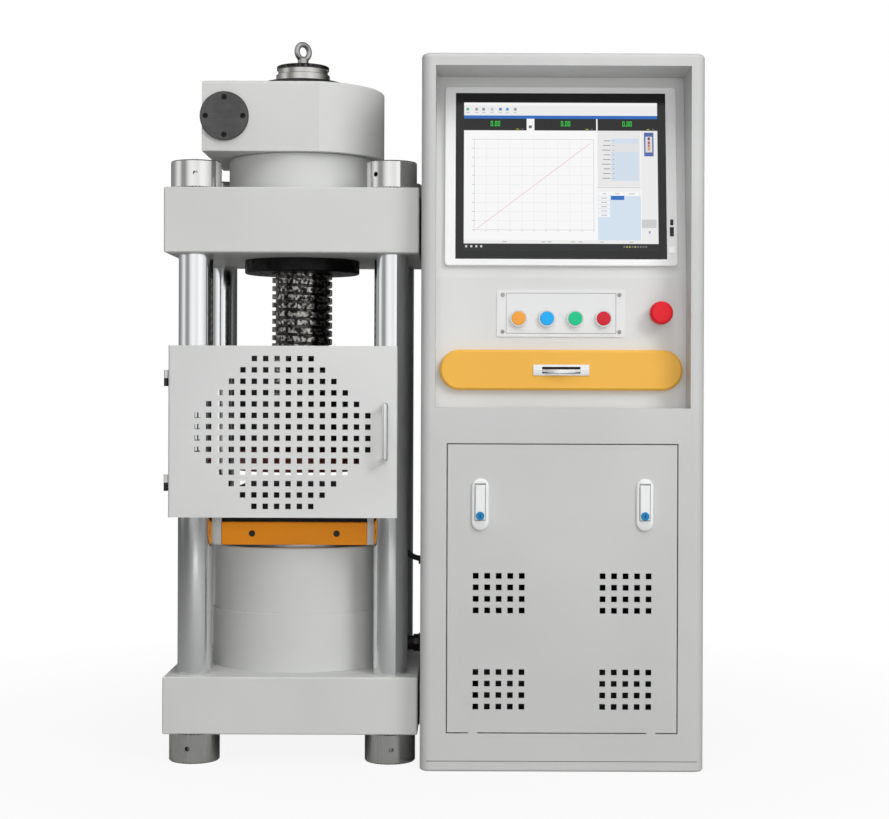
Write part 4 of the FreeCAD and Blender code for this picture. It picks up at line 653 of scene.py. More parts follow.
def merged_copy(node: bpy.types.Object) -> bpy.types.Mesh:
    """Copies a node's mesh with its loose triangles merged and without its own normals.

    Args:
        node: The node.

    Returns:
        The merged copy.
    """
    work = bmesh.new()
    work.from_mesh(node.data)
    bmesh.ops.remove_doubles(work, verts=work.verts, dist=1e-6)
    mesh = bpy.data.meshes.new(node.name)
    work.to_mesh(mesh)
    work.free()
    own = mesh.attributes.get("custom_normal")
    if own:
        mesh.attributes.remove(own)
    return mesh


def true_rounds(mesh: bpy.types.Mesh, axes: Sequence[tuple[float, float]], radius: float) -> None:
    """Gives the round side of upright turned pieces its exact normals, so that it mirrors without ripples.

    Args:
        mesh: The mesh, already smoothed.
        axes: The place of each piece's axis.
        radius: The radius of the round side.
    """
    normals = [corner.vector.copy() for corner in mesh.corner_normals]
    for face in mesh.polygons:
        middle = face.center
        x, y = min(axes, key=lambda axis: (axis[0] - middle.x) ** 2 + (axis[1] - middle.y) ** 2)
        if face.normal.dot(Vector((middle.x - x, middle.y - y, 0.0)).normalized()) < 0.97:
            continue
        for loop in face.loop_indices:
            place = mesh.vertices[mesh.loops[loop].vertex_index].co
            arm = Vector((place.x - x, place.y - y, 0.0))
            if abs(arm.length - radius) < 0.3 * MM:
                normals[loop] = arm.normalized()
    mesh.normals_split_custom_set(normals)


def plain_mesh(maker: bpy.types.Object) -> bpy.types.Mesh:
    """Turns what a piece's modifiers make into a plain mesh, and removes the maker.

    Args:
        maker: The object with the modifiers.

    Returns:
        The plain mesh.
    """
    bpy.context.view_layer.update()
    graph = bpy.context.evaluated_depsgraph_get()
    mesh = bpy.data.meshes.new_from_object(maker.evaluated_get(graph), depsgraph=graph)
    bpy.data.objects.remove(maker)
    return mesh


# Geometry Nodes


def new_tree(name: str, sizes: dict[str, tuple[str, object]]) -> bpy.types.NodeTree:
    """Makes a Geometry Nodes tree with named inputs.

    Args:
        name: The tree's name.
        sizes: Input name to socket type and default value.

    Returns:
        The tree, with its group input first.
    """
    tree = bpy.data.node_groups.new(name, "GeometryNodeTree")
    tree.interface.new_socket("Geometry", in_out="INPUT", socket_type="NodeSocketGeometry")
    for label, (kind, value) in sizes.items():
        socket = tree.interface.new_socket(label, in_out="INPUT", socket_type=kind)
        if value is not None:
            socket.default_value = value
    tree.interface.new_socket("Geometry", in_out="OUTPUT", socket_type="NodeSocketGeometry")
    tree.nodes.new("NodeGroupInput")
    return tree


def close_tree(tree: bpy.types.NodeTree, geometry: bpy.types.NodeSocket) -> None:
    """Ends a tree: instances are realized and get the material.

    Args:
        tree: The tree, with an input named Material.
        geometry: What it makes.
    """
    inputs = tree.nodes[0].outputs
    real = add_node(tree, "GeometryNodeRealizeInstances", {0: geometry}).outputs[0]
    dressed = add_node(tree, "GeometryNodeSetMaterial", {"Geometry": real, "Material": inputs["Material"]})
    add_node(tree, "NodeGroupOutput", {0: dressed.outputs[0]})


def grown(tree: bpy.types.NodeTree, points: Iterable[Point], values: dict[str, object]) -> bpy.types.Mesh:
    """Runs a tree on a set of points.

    Args:
        tree: The tree.
        points: The vertices it starts from.
        values: Input name to value.

    Returns:
        The plain mesh that it makes.
    """
    seeds = bpy.data.meshes.new("seeds")
    seeds.from_pydata([tuple(point) for point in points], [], [])
    maker = bpy.data.objects.new("maker", seeds)
    bpy.context.scene.collection.objects.link(maker)
    modifier = maker.modifiers.new("grow", "NODES")
    modifier.node_group = tree
    for item in tree.interface.items_tree:
        if item.in_out == "INPUT" and item.name in values:
            modifier[item.identifier] = values[item.name]
    return plain_mesh(maker)


def fastener_tree() -> bpy.types.NodeTree:
    """Returns the tree that sets a fastener on each point, turned at random about its own axis."""
    found = bpy.data.node_groups.get("fasteners_on_points")
    if found:
        return found
    tree = new_tree("fasteners_on_points", {
        "Fastener": ("NodeSocketObject", None), "Facing": ("NodeSocketVector", (0.0, 0.0, 0.0)),
        "Seed": ("NodeSocketInt", 7), "Material": ("NodeSocketMaterial", None)})
    inputs = tree.nodes[0].outputs
    shape = add_node(tree, "GeometryNodeObjectInfo", {"Object": inputs["Fastener"]}).outputs["Geometry"]
    spin = add_node(tree, "FunctionNodeRandomValue", {"Min": (0.0, 0.0, 0.0), "Max": (0.0, 0.0, math.tau),
                                                      "Seed": inputs["Seed"]}, data_type="FLOAT_VECTOR")
    own = add_node(tree, "FunctionNodeEulerToRotation", {0: spin.outputs[0]}).outputs[0]
    facing = add_node(tree, "FunctionNodeEulerToRotation", {0: inputs["Facing"]}).outputs[0]
    both = add_node(tree, "FunctionNodeRotateRotation", {0: facing, 1: own},
                    rotation_space="LOCAL").outputs[0]
    placed = add_node(tree, "GeometryNodeInstanceOnPoints", {"Points": inputs["Geometry"], "Instance": shape,
                                                             "Rotation": both}).outputs[0]
    close_tree(tree, placed)
    return tree


@dataclass
class Fastener:
    """A screw head, its foot on the surface at the origin and its axis along +Z."""

    radius: float = 4.0 * MM
    height: float = 3.0 * MM
    drive_radius: float = 2.0 * MM
    drive_depth: float = 1.6 * MM
    drive_sides: int = 6
    crown: float = 0.5 * MM

    def template(self) -> bpy.types.Object:
        """Builds the head with its recess, once for each use."""
        def fill(work: bmesh.types.BMesh) -> None:
            sides = self.drive_sides * 4
            rim = self.radius - self.crown
            turned(work, [(0.0, -0.2 * MM), (self.radius, -0.2 * MM), (self.radius, self.height - self.crown),
                          (rim, self.height)], (0.0, 0.0, 0.0), Axis.Z, sides)
            outer = [vert for vert in work.verts if abs(vert.co.z - self.height) < 1e-7]
            outer.sort(key=lambda vert: math.atan2(vert.co.y, vert.co.x))
            mouth = []
            for vert in outer:
                angle = math.atan2(vert.co.y, vert.co.x)
                part = math.pi / self.drive_sides
                swing = (angle + math.tau) % (2.0 * part) - part
                reach = self.drive_radius * math.cos(part) / math.cos(swing)
                mouth.append(Vector((reach * math.cos(angle), reach * math.sin(angle), self.height)))
            top = [work.verts.new(point) for point in mouth]
            floor = [work.verts.new(point - Vector((0.0, 0.0, self.drive_depth))) for point in mouth]
            for ring, inner in ((outer, top), (top, floor)):
                for index in range(len(ring)):
                    after = (index + 1) % len(ring)
                    work.faces.new((ring[index], ring[after], inner[after], inner[index]))
            work.faces.new(floor)
        made = bpy.data.objects.new("fastener", mesh_from(fill))
        shade(made.data)
        return made

    def rows(self, name: str, points: Iterable[Point], facing: Facing, finish: Finish, body: str,
             slot: str) -> None:
        """Sets the fastener on a set of points of one body.

        Args:
            name: The name of the piece that they become.
            points: Where they stand.
            facing: Which way their heads look.
            finish: Their finish.
            body: The body that they move with.
            slot: The record's slot; not used.
        """
        template = self.template()
        mesh = grown(fastener_tree(), points,
                     {"Fastener": template, "Facing": facing.value, "Seed": len(name),
                                               "Material": finish.material()})
        bpy.data.objects.remove(template)
        new_piece(name, mesh, finish, body)


@dataclass
class Assembly:
    """A sub-assembly: what the frame brings of it, and the finish of each of those nodes."""

    nodes: dict[str, bpy.types.Object]
    slots: dict[str, str]
    bodies: dict[str, str]

    def dress(self, finishes: dict[str, Finish]) -> None:
        """Gives nodes their finish.

        Args:
            finishes: Node name to finish.
        """
        for name, finish in finishes.items():
            node = self.nodes[name]
            node.data.materials.clear()
            node.data.materials.append(finish.material())
            LOG.info("dressed %s with %s", name, finish.name)

    def smooth(self, finishes: dict[str, Finish], degrees: float = 32.0) -> None:
        """Replaces nodes by merged copies with smooth round faces.

        Args:
            finishes: Node name to finish.
            degrees: The angle from which edges stay sharp.
        """
        for name, finish in finishes.items():
            mesh = merged_copy(self.nodes[name])
            piece = new_piece(name + "_smooth", mesh, finish, self.bodies[name], degrees)
            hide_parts(name)

    def centre(self, name: str) -> Vector:
        """Returns the middle of a node's box."""
        low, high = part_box(name)
        return (Vector(low) + Vector(high)) / 2.0


@dataclass
class LoadFrame(Assembly):
    """Base, crosshead, columns with their nuts, and the hydraulic cylinder."""

    column_radius: float = 30.0 * MM
    neck_radius: float = 27.0 * MM
    foot_top: float = 0.1
    left_nut_turn_deg: float = 9.0
    seam: float = 0.8 * MM
    strip_screw_spacing: float = 149.0 * MM

    def build(self) -> None:
        """Builds and dresses the load frame."""
        self.columns()
        self.nuts()
        self.cylinder()
        self.seat()
        self.smooth({"base_plate": FRAME_PAINT, "crosshead": FRAME_PAINT}, 25.0)
        self.smooth({"lower_platen": PLATEN_STEEL, "front_strip": STRIP_PAINT})
        self.dress({"piston_seal": SEAL_RUBBER, "piston": COLUMN_CHROME})
        self.strip_screws()

    def axes(self) -> list[tuple[float, float]]:
        """Returns the place of each column's axis."""
        low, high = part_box("columns")
        radius = self.column_radius
        return [(x, y) for x in (low[0] + radius, high[0] - radius)
                for y in (low[1] + radius, high[1] - radius)]

    def nuts(self) -> None:
        """Builds the polished nuts, whose round sides mirror the studio, with painted shade inside their
        tommy holes and a darker copy of the chrome on the feet, partly painted shade.
        """
        piece = new_piece("column_nuts_smooth", merged_copy(self.nodes["column_nuts"]), NUT_CHROME, "machine")
        axes = self.axes()
        radius = axes[0][0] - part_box("column_nuts")[0][0]
        pivot = Vector((*min(axes), 0.0))
        turn = Matrix.Rotation(math.radians(self.left_nut_turn_deg), 3, "Z")
        for vert in piece.data.vertices:
            arm = Vector((vert.co.x - pivot.x, vert.co.y - pivot.y, vert.co.z))
            if math.hypot(arm.x, arm.y) < radius + MM:
                vert.co = pivot + turn @ arm
        true_rounds(piece.data, axes, radius)
        # Inside the tommy holes goes painted shade; the feet's lower faces get the darker copy of the chrome,
        # partly painted shade.
        piece.data.materials.append(PAINTED_SHADE_AND_BLACK_STEEL.material())
        piece.data.materials.append(SHADED_FOOT_STEEL.material())
        for face in piece.data.polygons:
            reach = min(math.hypot(face.center.x - x, face.center.y - y) for x, y in axes)
            if self.column_radius + 3.0 * MM < reach < radius - 0.6 * MM and abs(face.normal.z) < 0.98:
                face.material_index = 1
            elif face.center.z < self.foot_top:
                face.material_index = 2
        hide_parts("column_nuts")

    def seat(self) -> None:
        """Builds the seat, whose pocket behind the strip gets painted shade."""
        piece = new_piece("platen_seat_smooth", merged_copy(self.nodes["platen_seat"]), FRAME_PAINT,
                          self.bodies["platen_seat"], 25.0)
        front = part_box("platen_seat")[0][1]
        low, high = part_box("front_strip")
        # The pocket's front-facing back wall gets painted shade.
        piece.data.materials.append(PAINTED_SHADE_AND_BLACK_STEEL.material())
        for face in piece.data.polygons:
            inside = low[0] < face.center.x < high[0] and front + MM < face.center.y < high[1] + MM
            if inside and face.normal.y < -0.9:
                face.material_index = 1
        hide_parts("platen_seat")

    def columns(self) -> None:
        """Turns the four columns with finely divided rounds."""
        low, high = (Vector(corner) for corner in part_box("columns"))
        base_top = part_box("base_plate")[1][2]
        head_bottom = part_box("crosshead")[0][2]
        profile = [(0.0, low.z), (self.neck_radius, low.z), (self.neck_radius, base_top),
                   (self.column_radius, base_top),
                   (self.column_radius, head_bottom), (self.neck_radius, head_bottom),
                   (self.neck_radius, high.z),
                   (0.0, high.z)]

        def fill(work: bmesh.types.BMesh) -> None:
            for x, y in self.axes():
                turned(work, profile, (x, y, 0.0), Axis.Z, 96)
        piece = new_piece("columns_turned", mesh_from(fill), COLUMN_CHROME, "machine")
        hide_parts("columns")

    def cylinder(self) -> None:
        """Turns the two stages of the cylinder, with a fine seam between them."""
        bore = 125.05 * MM
        for name, edge in (("cylinder_barrel", self.seam), ("cylinder_collar", 2.0 * MM)):
            low, high = (Vector(corner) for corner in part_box(name))
            middle = self.centre(name)
            radius = (high.y - low.y) / 2.0
            floor = low.z + 34.0 * MM if name == "cylinder_barrel" else low.z
            profile = [(radius, low.z), (radius, high.z - edge), (radius - edge, high.z), (bore, high.z),
                       (bore, floor)]
            if name == "cylinder_barrel":
                profile = [(0.0, low.z)] + profile + [(0.0, floor)]
            else:
                profile = profile + [(radius, low.z)]
            mesh = mesh_from(lambda work, corners=profile, x=middle.x,
                             y=middle.y: turned(work, corners, (x, y, 0.0),
                                                                                         Axis.Z, 160))
            piece = new_piece(name + "_turned", mesh, FRAME_PAINT, "machine")
            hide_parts(name)

    def strip_screws(self) -> None:
        """Sets the two button-head screws of the orange strip."""
        low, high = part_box("front_strip")
        middle = self.centre("front_strip")
        points = [(middle.x + side * self.strip_screw_spacing / 2.0, low[1], middle.z) for side in (-1, 1)]
        Fastener(radius=5.6 * MM, height=2.2 * MM, drive_radius=2.4 * MM, crown=1.2 * MM).rows(
            "strip_screws", points, Facing.FRONT, FASTENER_STEEL, "ram", "oiled_steel")


@dataclass
class ScrewDrive(Assembly):
    """The lead screw with its thread, the spherical seat, the gearbox and its motor."""

    outer_radius: float = 55.0 * MM
    root_radius: float = 48.6 * MM
    pitch: float = 15.0 * MM
    crest: float = 7.4 * MM
    foot: float = 9.2 * MM
    spigot_radius: float = 35.0 * MM
    end_length: float = 45.0 * MM
    end_land: float = 2.0 * MM
    end_profile_mm: tuple[tuple[float, float], ...] = (
        (0.0, -3.0), (49.3, -3.0), (49.3, 28.5), (48.6, 29.2), (45.5, 30.2), (45.5, 37.8), (48.0, 38.6),
                                                       (48.0, 44.0),
        (47.0, 45.0), (0.0, 45.0))
    grille_rings: int = 6
    grille_pitch: float = 8.5 * MM

    def build(self) -> None:
        """Builds and dresses the screw drive."""
        self.lead_screw()
        self.smooth({"gearbox_housing": FRAME_PAINT}, 9.0)
        self.smooth({"gearbox_pedestal": FRAME_PAINT}, 30.0)
        self.smooth({"gearbox_caps": CAP_STEEL, "guide_flange": FLANGE_STEEL, "eye_bolt": ZINC,
                     "upper_platen": UPPER_PLATEN_PAINT, "ball_seat": PLATEN_STEEL,
                     "feed_motor": MOTOR_PAINT})
        self.dress({"gearbox_screws": PAINTED_SHADE_AND_BLACK_STEEL, "gearbox_bearings": NUT_STEEL, "worm_wheel": BRONZE,
                    "worm_shaft": NUT_STEEL, "seat_liner": BRONZE})
        self.motor_grille()

    def thread_tree(self) -> bpy.types.NodeTree:
        """Returns the tree of the thread: a trapezoid swept along a helix round a root bar."""
        tree = new_tree("trapezoidal_thread", {
            "Outer Radius": ("NodeSocketFloat", 0.055), "Root Radius": ("NodeSocketFloat", 0.0495),
            "Pitch": ("NodeSocketFloat", 0.015), "Length": ("NodeSocketFloat", 0.5),
            "Crest": ("NodeSocketFloat", 0.005), "Foot": ("NodeSocketFloat", 0.0095),
            "Material": ("NodeSocketMaterial", None)})
        inputs = tree.nodes[0].outputs
        turns = add_node(tree, "ShaderNodeMath", {0: inputs["Length"], 1: inputs["Pitch"]},
                         operation="DIVIDE").outputs[0]
        total = add_node(tree, "ShaderNodeMath", {0: inputs["Outer Radius"], 1: inputs["Root Radius"]},
                         operation="ADD")
        middle = add_node(tree, "ShaderNodeMath", {0: total.outputs[0], 1: 0.5},
                          operation="MULTIPLY").outputs[0]
        depth = add_node(tree, "ShaderNodeMath", {0: inputs["Outer Radius"], 1: inputs["Root Radius"]},
                         operation="SUBTRACT").outputs[0]
        helix = add_node(tree, "GeometryNodeCurveSpiral",
                         {"Resolution": 72, "Rotations": turns, "Start Radius": middle,
                                                           "End Radius": middle, "Height": inputs["Length"]})
        upright = add_node(tree, "GeometryNodeSetCurveNormal", {0: helix.outputs[0]}, mode="Z_UP").outputs[0]
        tooth = add_node(tree, "GeometryNodeCurvePrimitiveQuadrilateral", {
            "Height": depth, "Bottom Width": inputs["Foot"], "Top Width": inputs["Crest"], "Offset": 0.0},
            mode="TRAPEZOID").outputs[0]
        turned_tooth = add_node(tree, "GeometryNodeTransform",
                                {0: tooth, "Rotation": (0.0, 0.0, -math.pi / 2.0)})
        thread = add_node(tree, "GeometryNodeCurveToMesh",
                          {0: upright, 1: turned_tooth.outputs[0], "Fill Caps": True})
        bar = add_node(tree, "GeometryNodeMeshCylinder", {"Vertices": 96, "Radius": inputs["Root Radius"],
                                                          "Depth": inputs["Length"]}).outputs[0]
        half = add_node(tree, "ShaderNodeMath", {0: inputs["Length"], 1: 0.5},
                        operation="MULTIPLY").outputs[0]
        lift = add_node(tree, "ShaderNodeCombineXYZ", {2: half}).outputs[0]
        raised = add_node(tree, "GeometryNodeTransform", {0: bar, "Translation": lift}).outputs[0]
        both = add_node(tree, "GeometryNodeJoinGeometry", {0: thread.outputs[0]})
        tree.links.new(raised, both.inputs[0])
        close_tree(tree, both.outputs[0])
        return tree

    def lead_screw(self) -> None:
        """Builds the threaded screw from the ball seat to the eye bolt, with its plain spigot and end."""
        low, high = (Vector(corner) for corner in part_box("lead_screw"))
        middle = self.centre("lead_screw")
        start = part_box("ball_seat")[1][2]
        land = start + self.end_land
        neck = high.z - self.end_length
        length = neck - land
        # The black base colour is painted shade on the flanks; crest and root get painted highlights.
        steel = ThreadSteel("thread_steel_oiled", "#0B0A0A", 0.17, 1.0, (middle.x, middle.y),
                            self.root_radius,
                            self.outer_radius)
        mesh = grown(self.thread_tree(), [(0.0, 0.0, 0.0)], {
            "Outer Radius": self.outer_radius, "Root Radius": self.root_radius, "Pitch": self.pitch,
                                                             "Length": length,
            "Crest": self.crest, "Foot": self.foot, "Material": steel.material()})
        mesh.transform(Matrix.Translation((middle.x, middle.y, land)))
        work = bmesh.new()
        work.from_mesh(mesh)
        centre = (middle.x, middle.y, 0.0)
        turned(work, [(radius * MM, neck + height * MM) for radius, height in self.end_profile_mm],
               centre, Axis.Z, 96)
        turned(work, [(0.0, low.z), (self.spigot_radius, low.z), (self.spigot_radius, start),
                      (self.outer_radius, start), (self.outer_radius, land), (0.0, land)], centre, Axis.Z, 96)
        screw = bpy.data.meshes.new("lead_screw_threaded")
        work.to_mesh(screw)
        work.free()
        piece = new_piece("lead_screw_threaded", screw, steel, "feed_screw")
        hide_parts("lead_screw")

    def grille_tree(self) -> bpy.types.NodeTree:
        """Returns the tree of the fan grille: wire rings at an even pitch and radial wires."""
        tree = new_tree("fan_grille", {
            "Rings": ("NodeSocketInt", 6), "Ring Pitch": ("NodeSocketFloat", 0.0085),
                                       "Wire": ("NodeSocketFloat", 0.001),
            "Spokes": ("NodeSocketInt", 4), "Material": ("NodeSocketMaterial", None)})
        inputs = tree.nodes[0].outputs
        step = add_node(tree, "ShaderNodeCombineXYZ", {0: 0.0}).outputs[0]
        line = add_node(tree, "GeometryNodeMeshLine", {"Count": inputs["Rings"], "Offset": step}).outputs[0]
        unit = add_node(tree, "GeometryNodeCurvePrimitiveCircle",
                        {"Resolution": 64, "Radius": 1.0}).outputs[0]
        index = add_node(tree, "GeometryNodeInputIndex").outputs[0]
        number = add_node(tree, "ShaderNodeMath", {0: index, 1: 1.0}, operation="ADD").outputs[0]
        reach = add_node(tree, "ShaderNodeMath", {0: number, 1: inputs["Ring Pitch"]},
                         operation="MULTIPLY").outputs[0]
        rings = add_node(tree, "GeometryNodeInstanceOnPoints",
                         {"Points": line, "Instance": unit, "Scale": reach})
        far = add_node(tree, "ShaderNodeMath", {0: inputs["Rings"], 1: inputs["Ring Pitch"]},
                       operation="MULTIPLY")
        tip = add_node(tree, "ShaderNodeCombineXYZ", {0: far.outputs[0]}).outputs[0]
        spoke = add_node(tree, "GeometryNodeCurvePrimitiveLine",
                         {"Start": (0.0, 0.0, 0.0), "End": tip}).outputs[0]
        hub = add_node(tree, "GeometryNodeMeshLine",
                       {"Count": inputs["Spokes"], "Offset": (0.0, 0.0, 0.0)}).outputs[0]
        share = add_node(tree, "ShaderNodeMath", {0: math.tau, 1: inputs["Spokes"]},
                         operation="DIVIDE").outputs[0]
        angle = add_node(tree, "ShaderNodeMath", {0: index, 1: share}, operation="MULTIPLY").outputs[0]
        turn = add_node(tree, "ShaderNodeCombineXYZ", {2: angle}).outputs[0]
        spin = add_node(tree, "FunctionNodeEulerToRotation", {0: turn}).outputs[0]
        spokes = add_node(tree, "GeometryNodeInstanceOnPoints",
                          {"Points": hub, "Instance": spoke, "Rotation": spin})
        both = add_node(tree, "GeometryNodeJoinGeometry", {0: rings.outputs[0]})
        tree.links.new(spokes.outputs[0], both.inputs[0])
        wires = add_node(tree, "GeometryNodeRealizeInstances", {0: both.outputs[0]}).outputs[0]
        section = add_node(tree, "GeometryNodeCurvePrimitiveCircle",
                           {"Resolution": 8, "Radius": inputs["Wire"]}).outputs[0]
        solid = add_node(tree, "GeometryNodeCurveToMesh",
                         {0: wires, 1: section, "Fill Caps": True}).outputs[0]
        close_tree(tree, solid)
        return tree

    def motor_grille(self) -> None:
        """Sets the wire grille on the back of the motor's cowl."""
        low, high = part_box("feed_motor")
        centre_x = (low[0] + high[0]) / 2.0
        centre_z = self.centre("worm_shaft").z
        mesh = grown(self.grille_tree(), [(0.0, 0.0, 0.0)], {
            "Rings": self.grille_rings, "Ring Pitch": self.grille_pitch, "Wire": 1.1 * MM, "Spokes": 4,
            "Material": ZINC.material()})
        place = Matrix.Translation((centre_x, high[1] - 0.4 * MM,
                                    centre_z)) @ Matrix.Rotation(math.pi / 2.0, 4, "X")
        mesh.transform(place)
        new_piece("motor_grille", mesh, ZINC, "machine", 60.0)


@dataclass
class GuardDoor(Assembly):
    """The perforated guard door, its handle, hinges and catch."""

    clamp_screw_radius: float = 3.2 * MM
    sheet: float = 2.0 * MM
    depth: float = 18.0 * MM
    bend: float = 4.0 * MM
    hole: float = 9.5 * MM
    pitch: float = 19.5 * MM
    columns: int = 16
    rows: int = 14
    corner_steps: int = 5
    field_drop: float = 1.3 * MM
    knuckle_radius: float = 4.0 * MM
    knuckle_bore: float = 2.3 * MM
    knuckle_levels: tuple[float, float] = (486.3 * MM, 666.3 * MM)
    knuckle_length: float = 13.7 * MM

    def build(self) -> None:
        """Builds and dresses the door and sets the screws of its clamps."""
        self.door()
        # The rear guard's black enamel is painted shade, so that the door's holes look dark.
        self.dress({"rear_guard": MOTOR_PAINT})
        self.smooth({"guard_handle": BRIGHT_ALUMINIUM}, 50.0)
        self.smooth({"column_clamps": FASTENER_STEEL})
        self.clamp_screws()

    def sheet_tree(self) -> bpy.types.NodeTree:
        """Returns the tree of the door: a block hollowed from behind and punched square on each point."""
        tree = new_tree("punched_sheet", {
            "Block": ("NodeSocketObject", None), "Hollow": ("NodeSocketObject", None),
            "Hole": ("NodeSocketFloat", 0.0095), "Reach": ("NodeSocketFloat", 0.006),
            "Material": ("NodeSocketMaterial", None)})
        inputs = tree.nodes[0].outputs
        block_mesh, hollow_mesh = [add_node(tree, "GeometryNodeObjectInfo",
                                            {"Object": inputs[name]}).outputs["Geometry"]
                                   for name in ("Block", "Hollow")]
        pan = add_node(tree, "GeometryNodeMeshBoolean", {"Mesh 1": block_mesh, "Mesh 2": hollow_mesh},
                       operation="DIFFERENCE", solver="EXACT").outputs[0]
        size = add_node(tree, "ShaderNodeCombineXYZ",
                        {0: inputs["Hole"], 1: inputs["Reach"], 2: inputs["Hole"]})
        punch = add_node(tree, "GeometryNodeMeshCube", {"Size": size.outputs[0]}).outputs[0]
        placed = add_node(tree, "GeometryNodeInstanceOnPoints",
                          {"Points": inputs["Geometry"], "Instance": punch})
        punches = add_node(tree, "GeometryNodeRealizeInstances", {0: placed.outputs[0]}).outputs[0]
        punched = add_node(tree, "GeometryNodeMeshBoolean", {"Mesh 1": pan, "Mesh 2": punches},
                           operation="DIFFERENCE", solver="EXACT")
        close_tree(tree, punched.outputs[0])
        return tree

    def hole_points(self, low: Vector, high: Vector) -> list[Point]:
        """Returns the middle of each hole: a rectangle of rows whose corners are cut in steps.

        Args:
            low: The door's lowest corner.
            high: The door's highest corner.
        """
        points = []
        centre_z = (low.z + high.z) / 2.0 - self.field_drop
        for column in range(self.columns):
            for row in range(self.rows):
                across = abs(column - (self.columns - 1) / 2.0)
                up = abs(row - (self.rows - 1) / 2.0)
                if across + up > (self.columns + self.rows) / 2.0 - 1.0 - self.corner_steps:
                    continue
                points.append(((low.x + high.x) / 2.0 + (column - (self.columns - 1) / 2.0) * self.pitch,
                               low.y + self.sheet / 2.0,
                               centre_z + (row - (self.rows - 1) / 2.0) * self.pitch))
        return points

    def door(self) -> None:
        """Folds and punches the door's sheet and adds its two hinge knuckles."""
        box_low, box_high = (Vector(corner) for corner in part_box("guard_door"))
        hinge = Vector((box_low.x + self.knuckle_radius, box_low.y + self.depth / 2.0, 0.0))
        low = Vector((hinge.x + 4.6 * MM, box_low.y, box_low.z))
        high = Vector((box_high.x, box_low.y + self.depth, box_high.z))

        def folded(grow: float, radius: float, back: float) -> bpy.types.Object:
            def fill(work: bmesh.types.BMesh) -> None:
                block(work, (low.x + grow, low.y + grow, low.z + grow),
                      (high.x - grow, high.y + back, high.z - grow))
                upright = [edge for edge in work.edges
                           if abs(edge.verts[0].co.z - edge.verts[1].co.z) > self.depth
                           and edge.verts[0].co.y < low.y + self.depth / 2.0]
                bmesh.ops.bevel(work, geom=upright, offset=radius, segments=5, profile=0.5, affect="EDGES")
            return bpy.data.objects.new("folded", mesh_from(fill))
        outer = folded(0.0, self.bend, 0.0)
        inner = folded(self.sheet, self.bend - self.sheet, 5.0 * MM)
        # The door gets the lighter copy of the cabinet grey, painted light.
        punched = grown(self.sheet_tree(), self.hole_points(low, high), {
            "Block": outer, "Hollow": inner, "Hole": self.hole, "Reach": 3.0 * self.sheet,
            "Material": LIT_COPY_PAINT.material()})

        def fill(work: bmesh.types.BMesh) -> None:
            work.from_mesh(punched)
            for level in self.knuckle_levels:
                turned(work, [(self.knuckle_bore, level), (self.knuckle_radius, level),
                              (self.knuckle_radius, level + self.knuckle_length),
                              (self.knuckle_bore, level + self.knuckle_length), (self.knuckle_bore, level)],
                       hinge, Axis.Z, 32)
                block(work, (hinge.x + 3.2 * MM, hinge.y - self.sheet / 2.0, level + 0.1 * MM),
                      (low.x + 0.5 * MM, hinge.y + self.sheet / 2.0, level + self.knuckle_length - 0.1 * MM))
        piece = new_piece("guard_door_punched", mesh_from(fill), LIT_COPY_PAINT, self.bodies["guard_door"],
                          25.0)
        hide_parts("guard_door")
        for maker in (outer, inner):
            bpy.data.objects.remove(maker)

    def clamp_screws(self) -> None:
        """Sets a grub screw in the flat left side of each hinge clamp."""
        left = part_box("column_clamps")[0][0]
        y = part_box("columns")[0][1] + 9.0 * MM
        points = [(left, y, z * MM) for z in (479.0, 659.0)]
        Fastener(radius=self.clamp_screw_radius, height=1.2 * MM, drive_radius=1.6 * MM, drive_depth=0.8 * MM,
                 crown=0.3 * MM).rows("clamp_screws", points, Facing.LEFT, FASTENER_STEEL, "machine",
                                      "oiled_steel")


@dataclass
class Links(Assembly):
    """The hose and the lead between the load frame and the cabinet."""

    nut_radius: float = 19.0 * MM
    nut_length: float = 8.0 * MM

    def build(self) -> None:
        """Dresses the hose and the lead, and adds the nuts of their fittings."""
        self.smooth({"hydraulic_hose": HOSE_RUBBER, "hose_fittings": FASTENER_STEEL,
                     "sensor_lead": BLACK_PLASTIC})
        self.nuts()

    def nuts(self) -> None:
        """Adds the hexagon nuts of the two hose fittings and of the lead's gland."""
        low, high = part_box("hose_fittings")
        middle = self.centre("hose_fittings")
        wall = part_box("side_panels")[0][0]

        def fill(work: bmesh.types.BMesh) -> None:
            first = Vector((low[0] + 4.5 * MM, middle.y, middle.z))
            prism(work, 6, self.nut_radius, first, first + Vector((self.nut_length, 0.0, 0.0)))
            last = Vector((wall - self.nut_length - 0.3 * MM, middle.y, middle.z))
            prism(work, 6, self.nut_radius, last, last + Vector((self.nut_length, 0.0, 0.0)))
        new_piece("fitting_nuts", mesh_from(fill), FASTENER_STEEL, "machine")


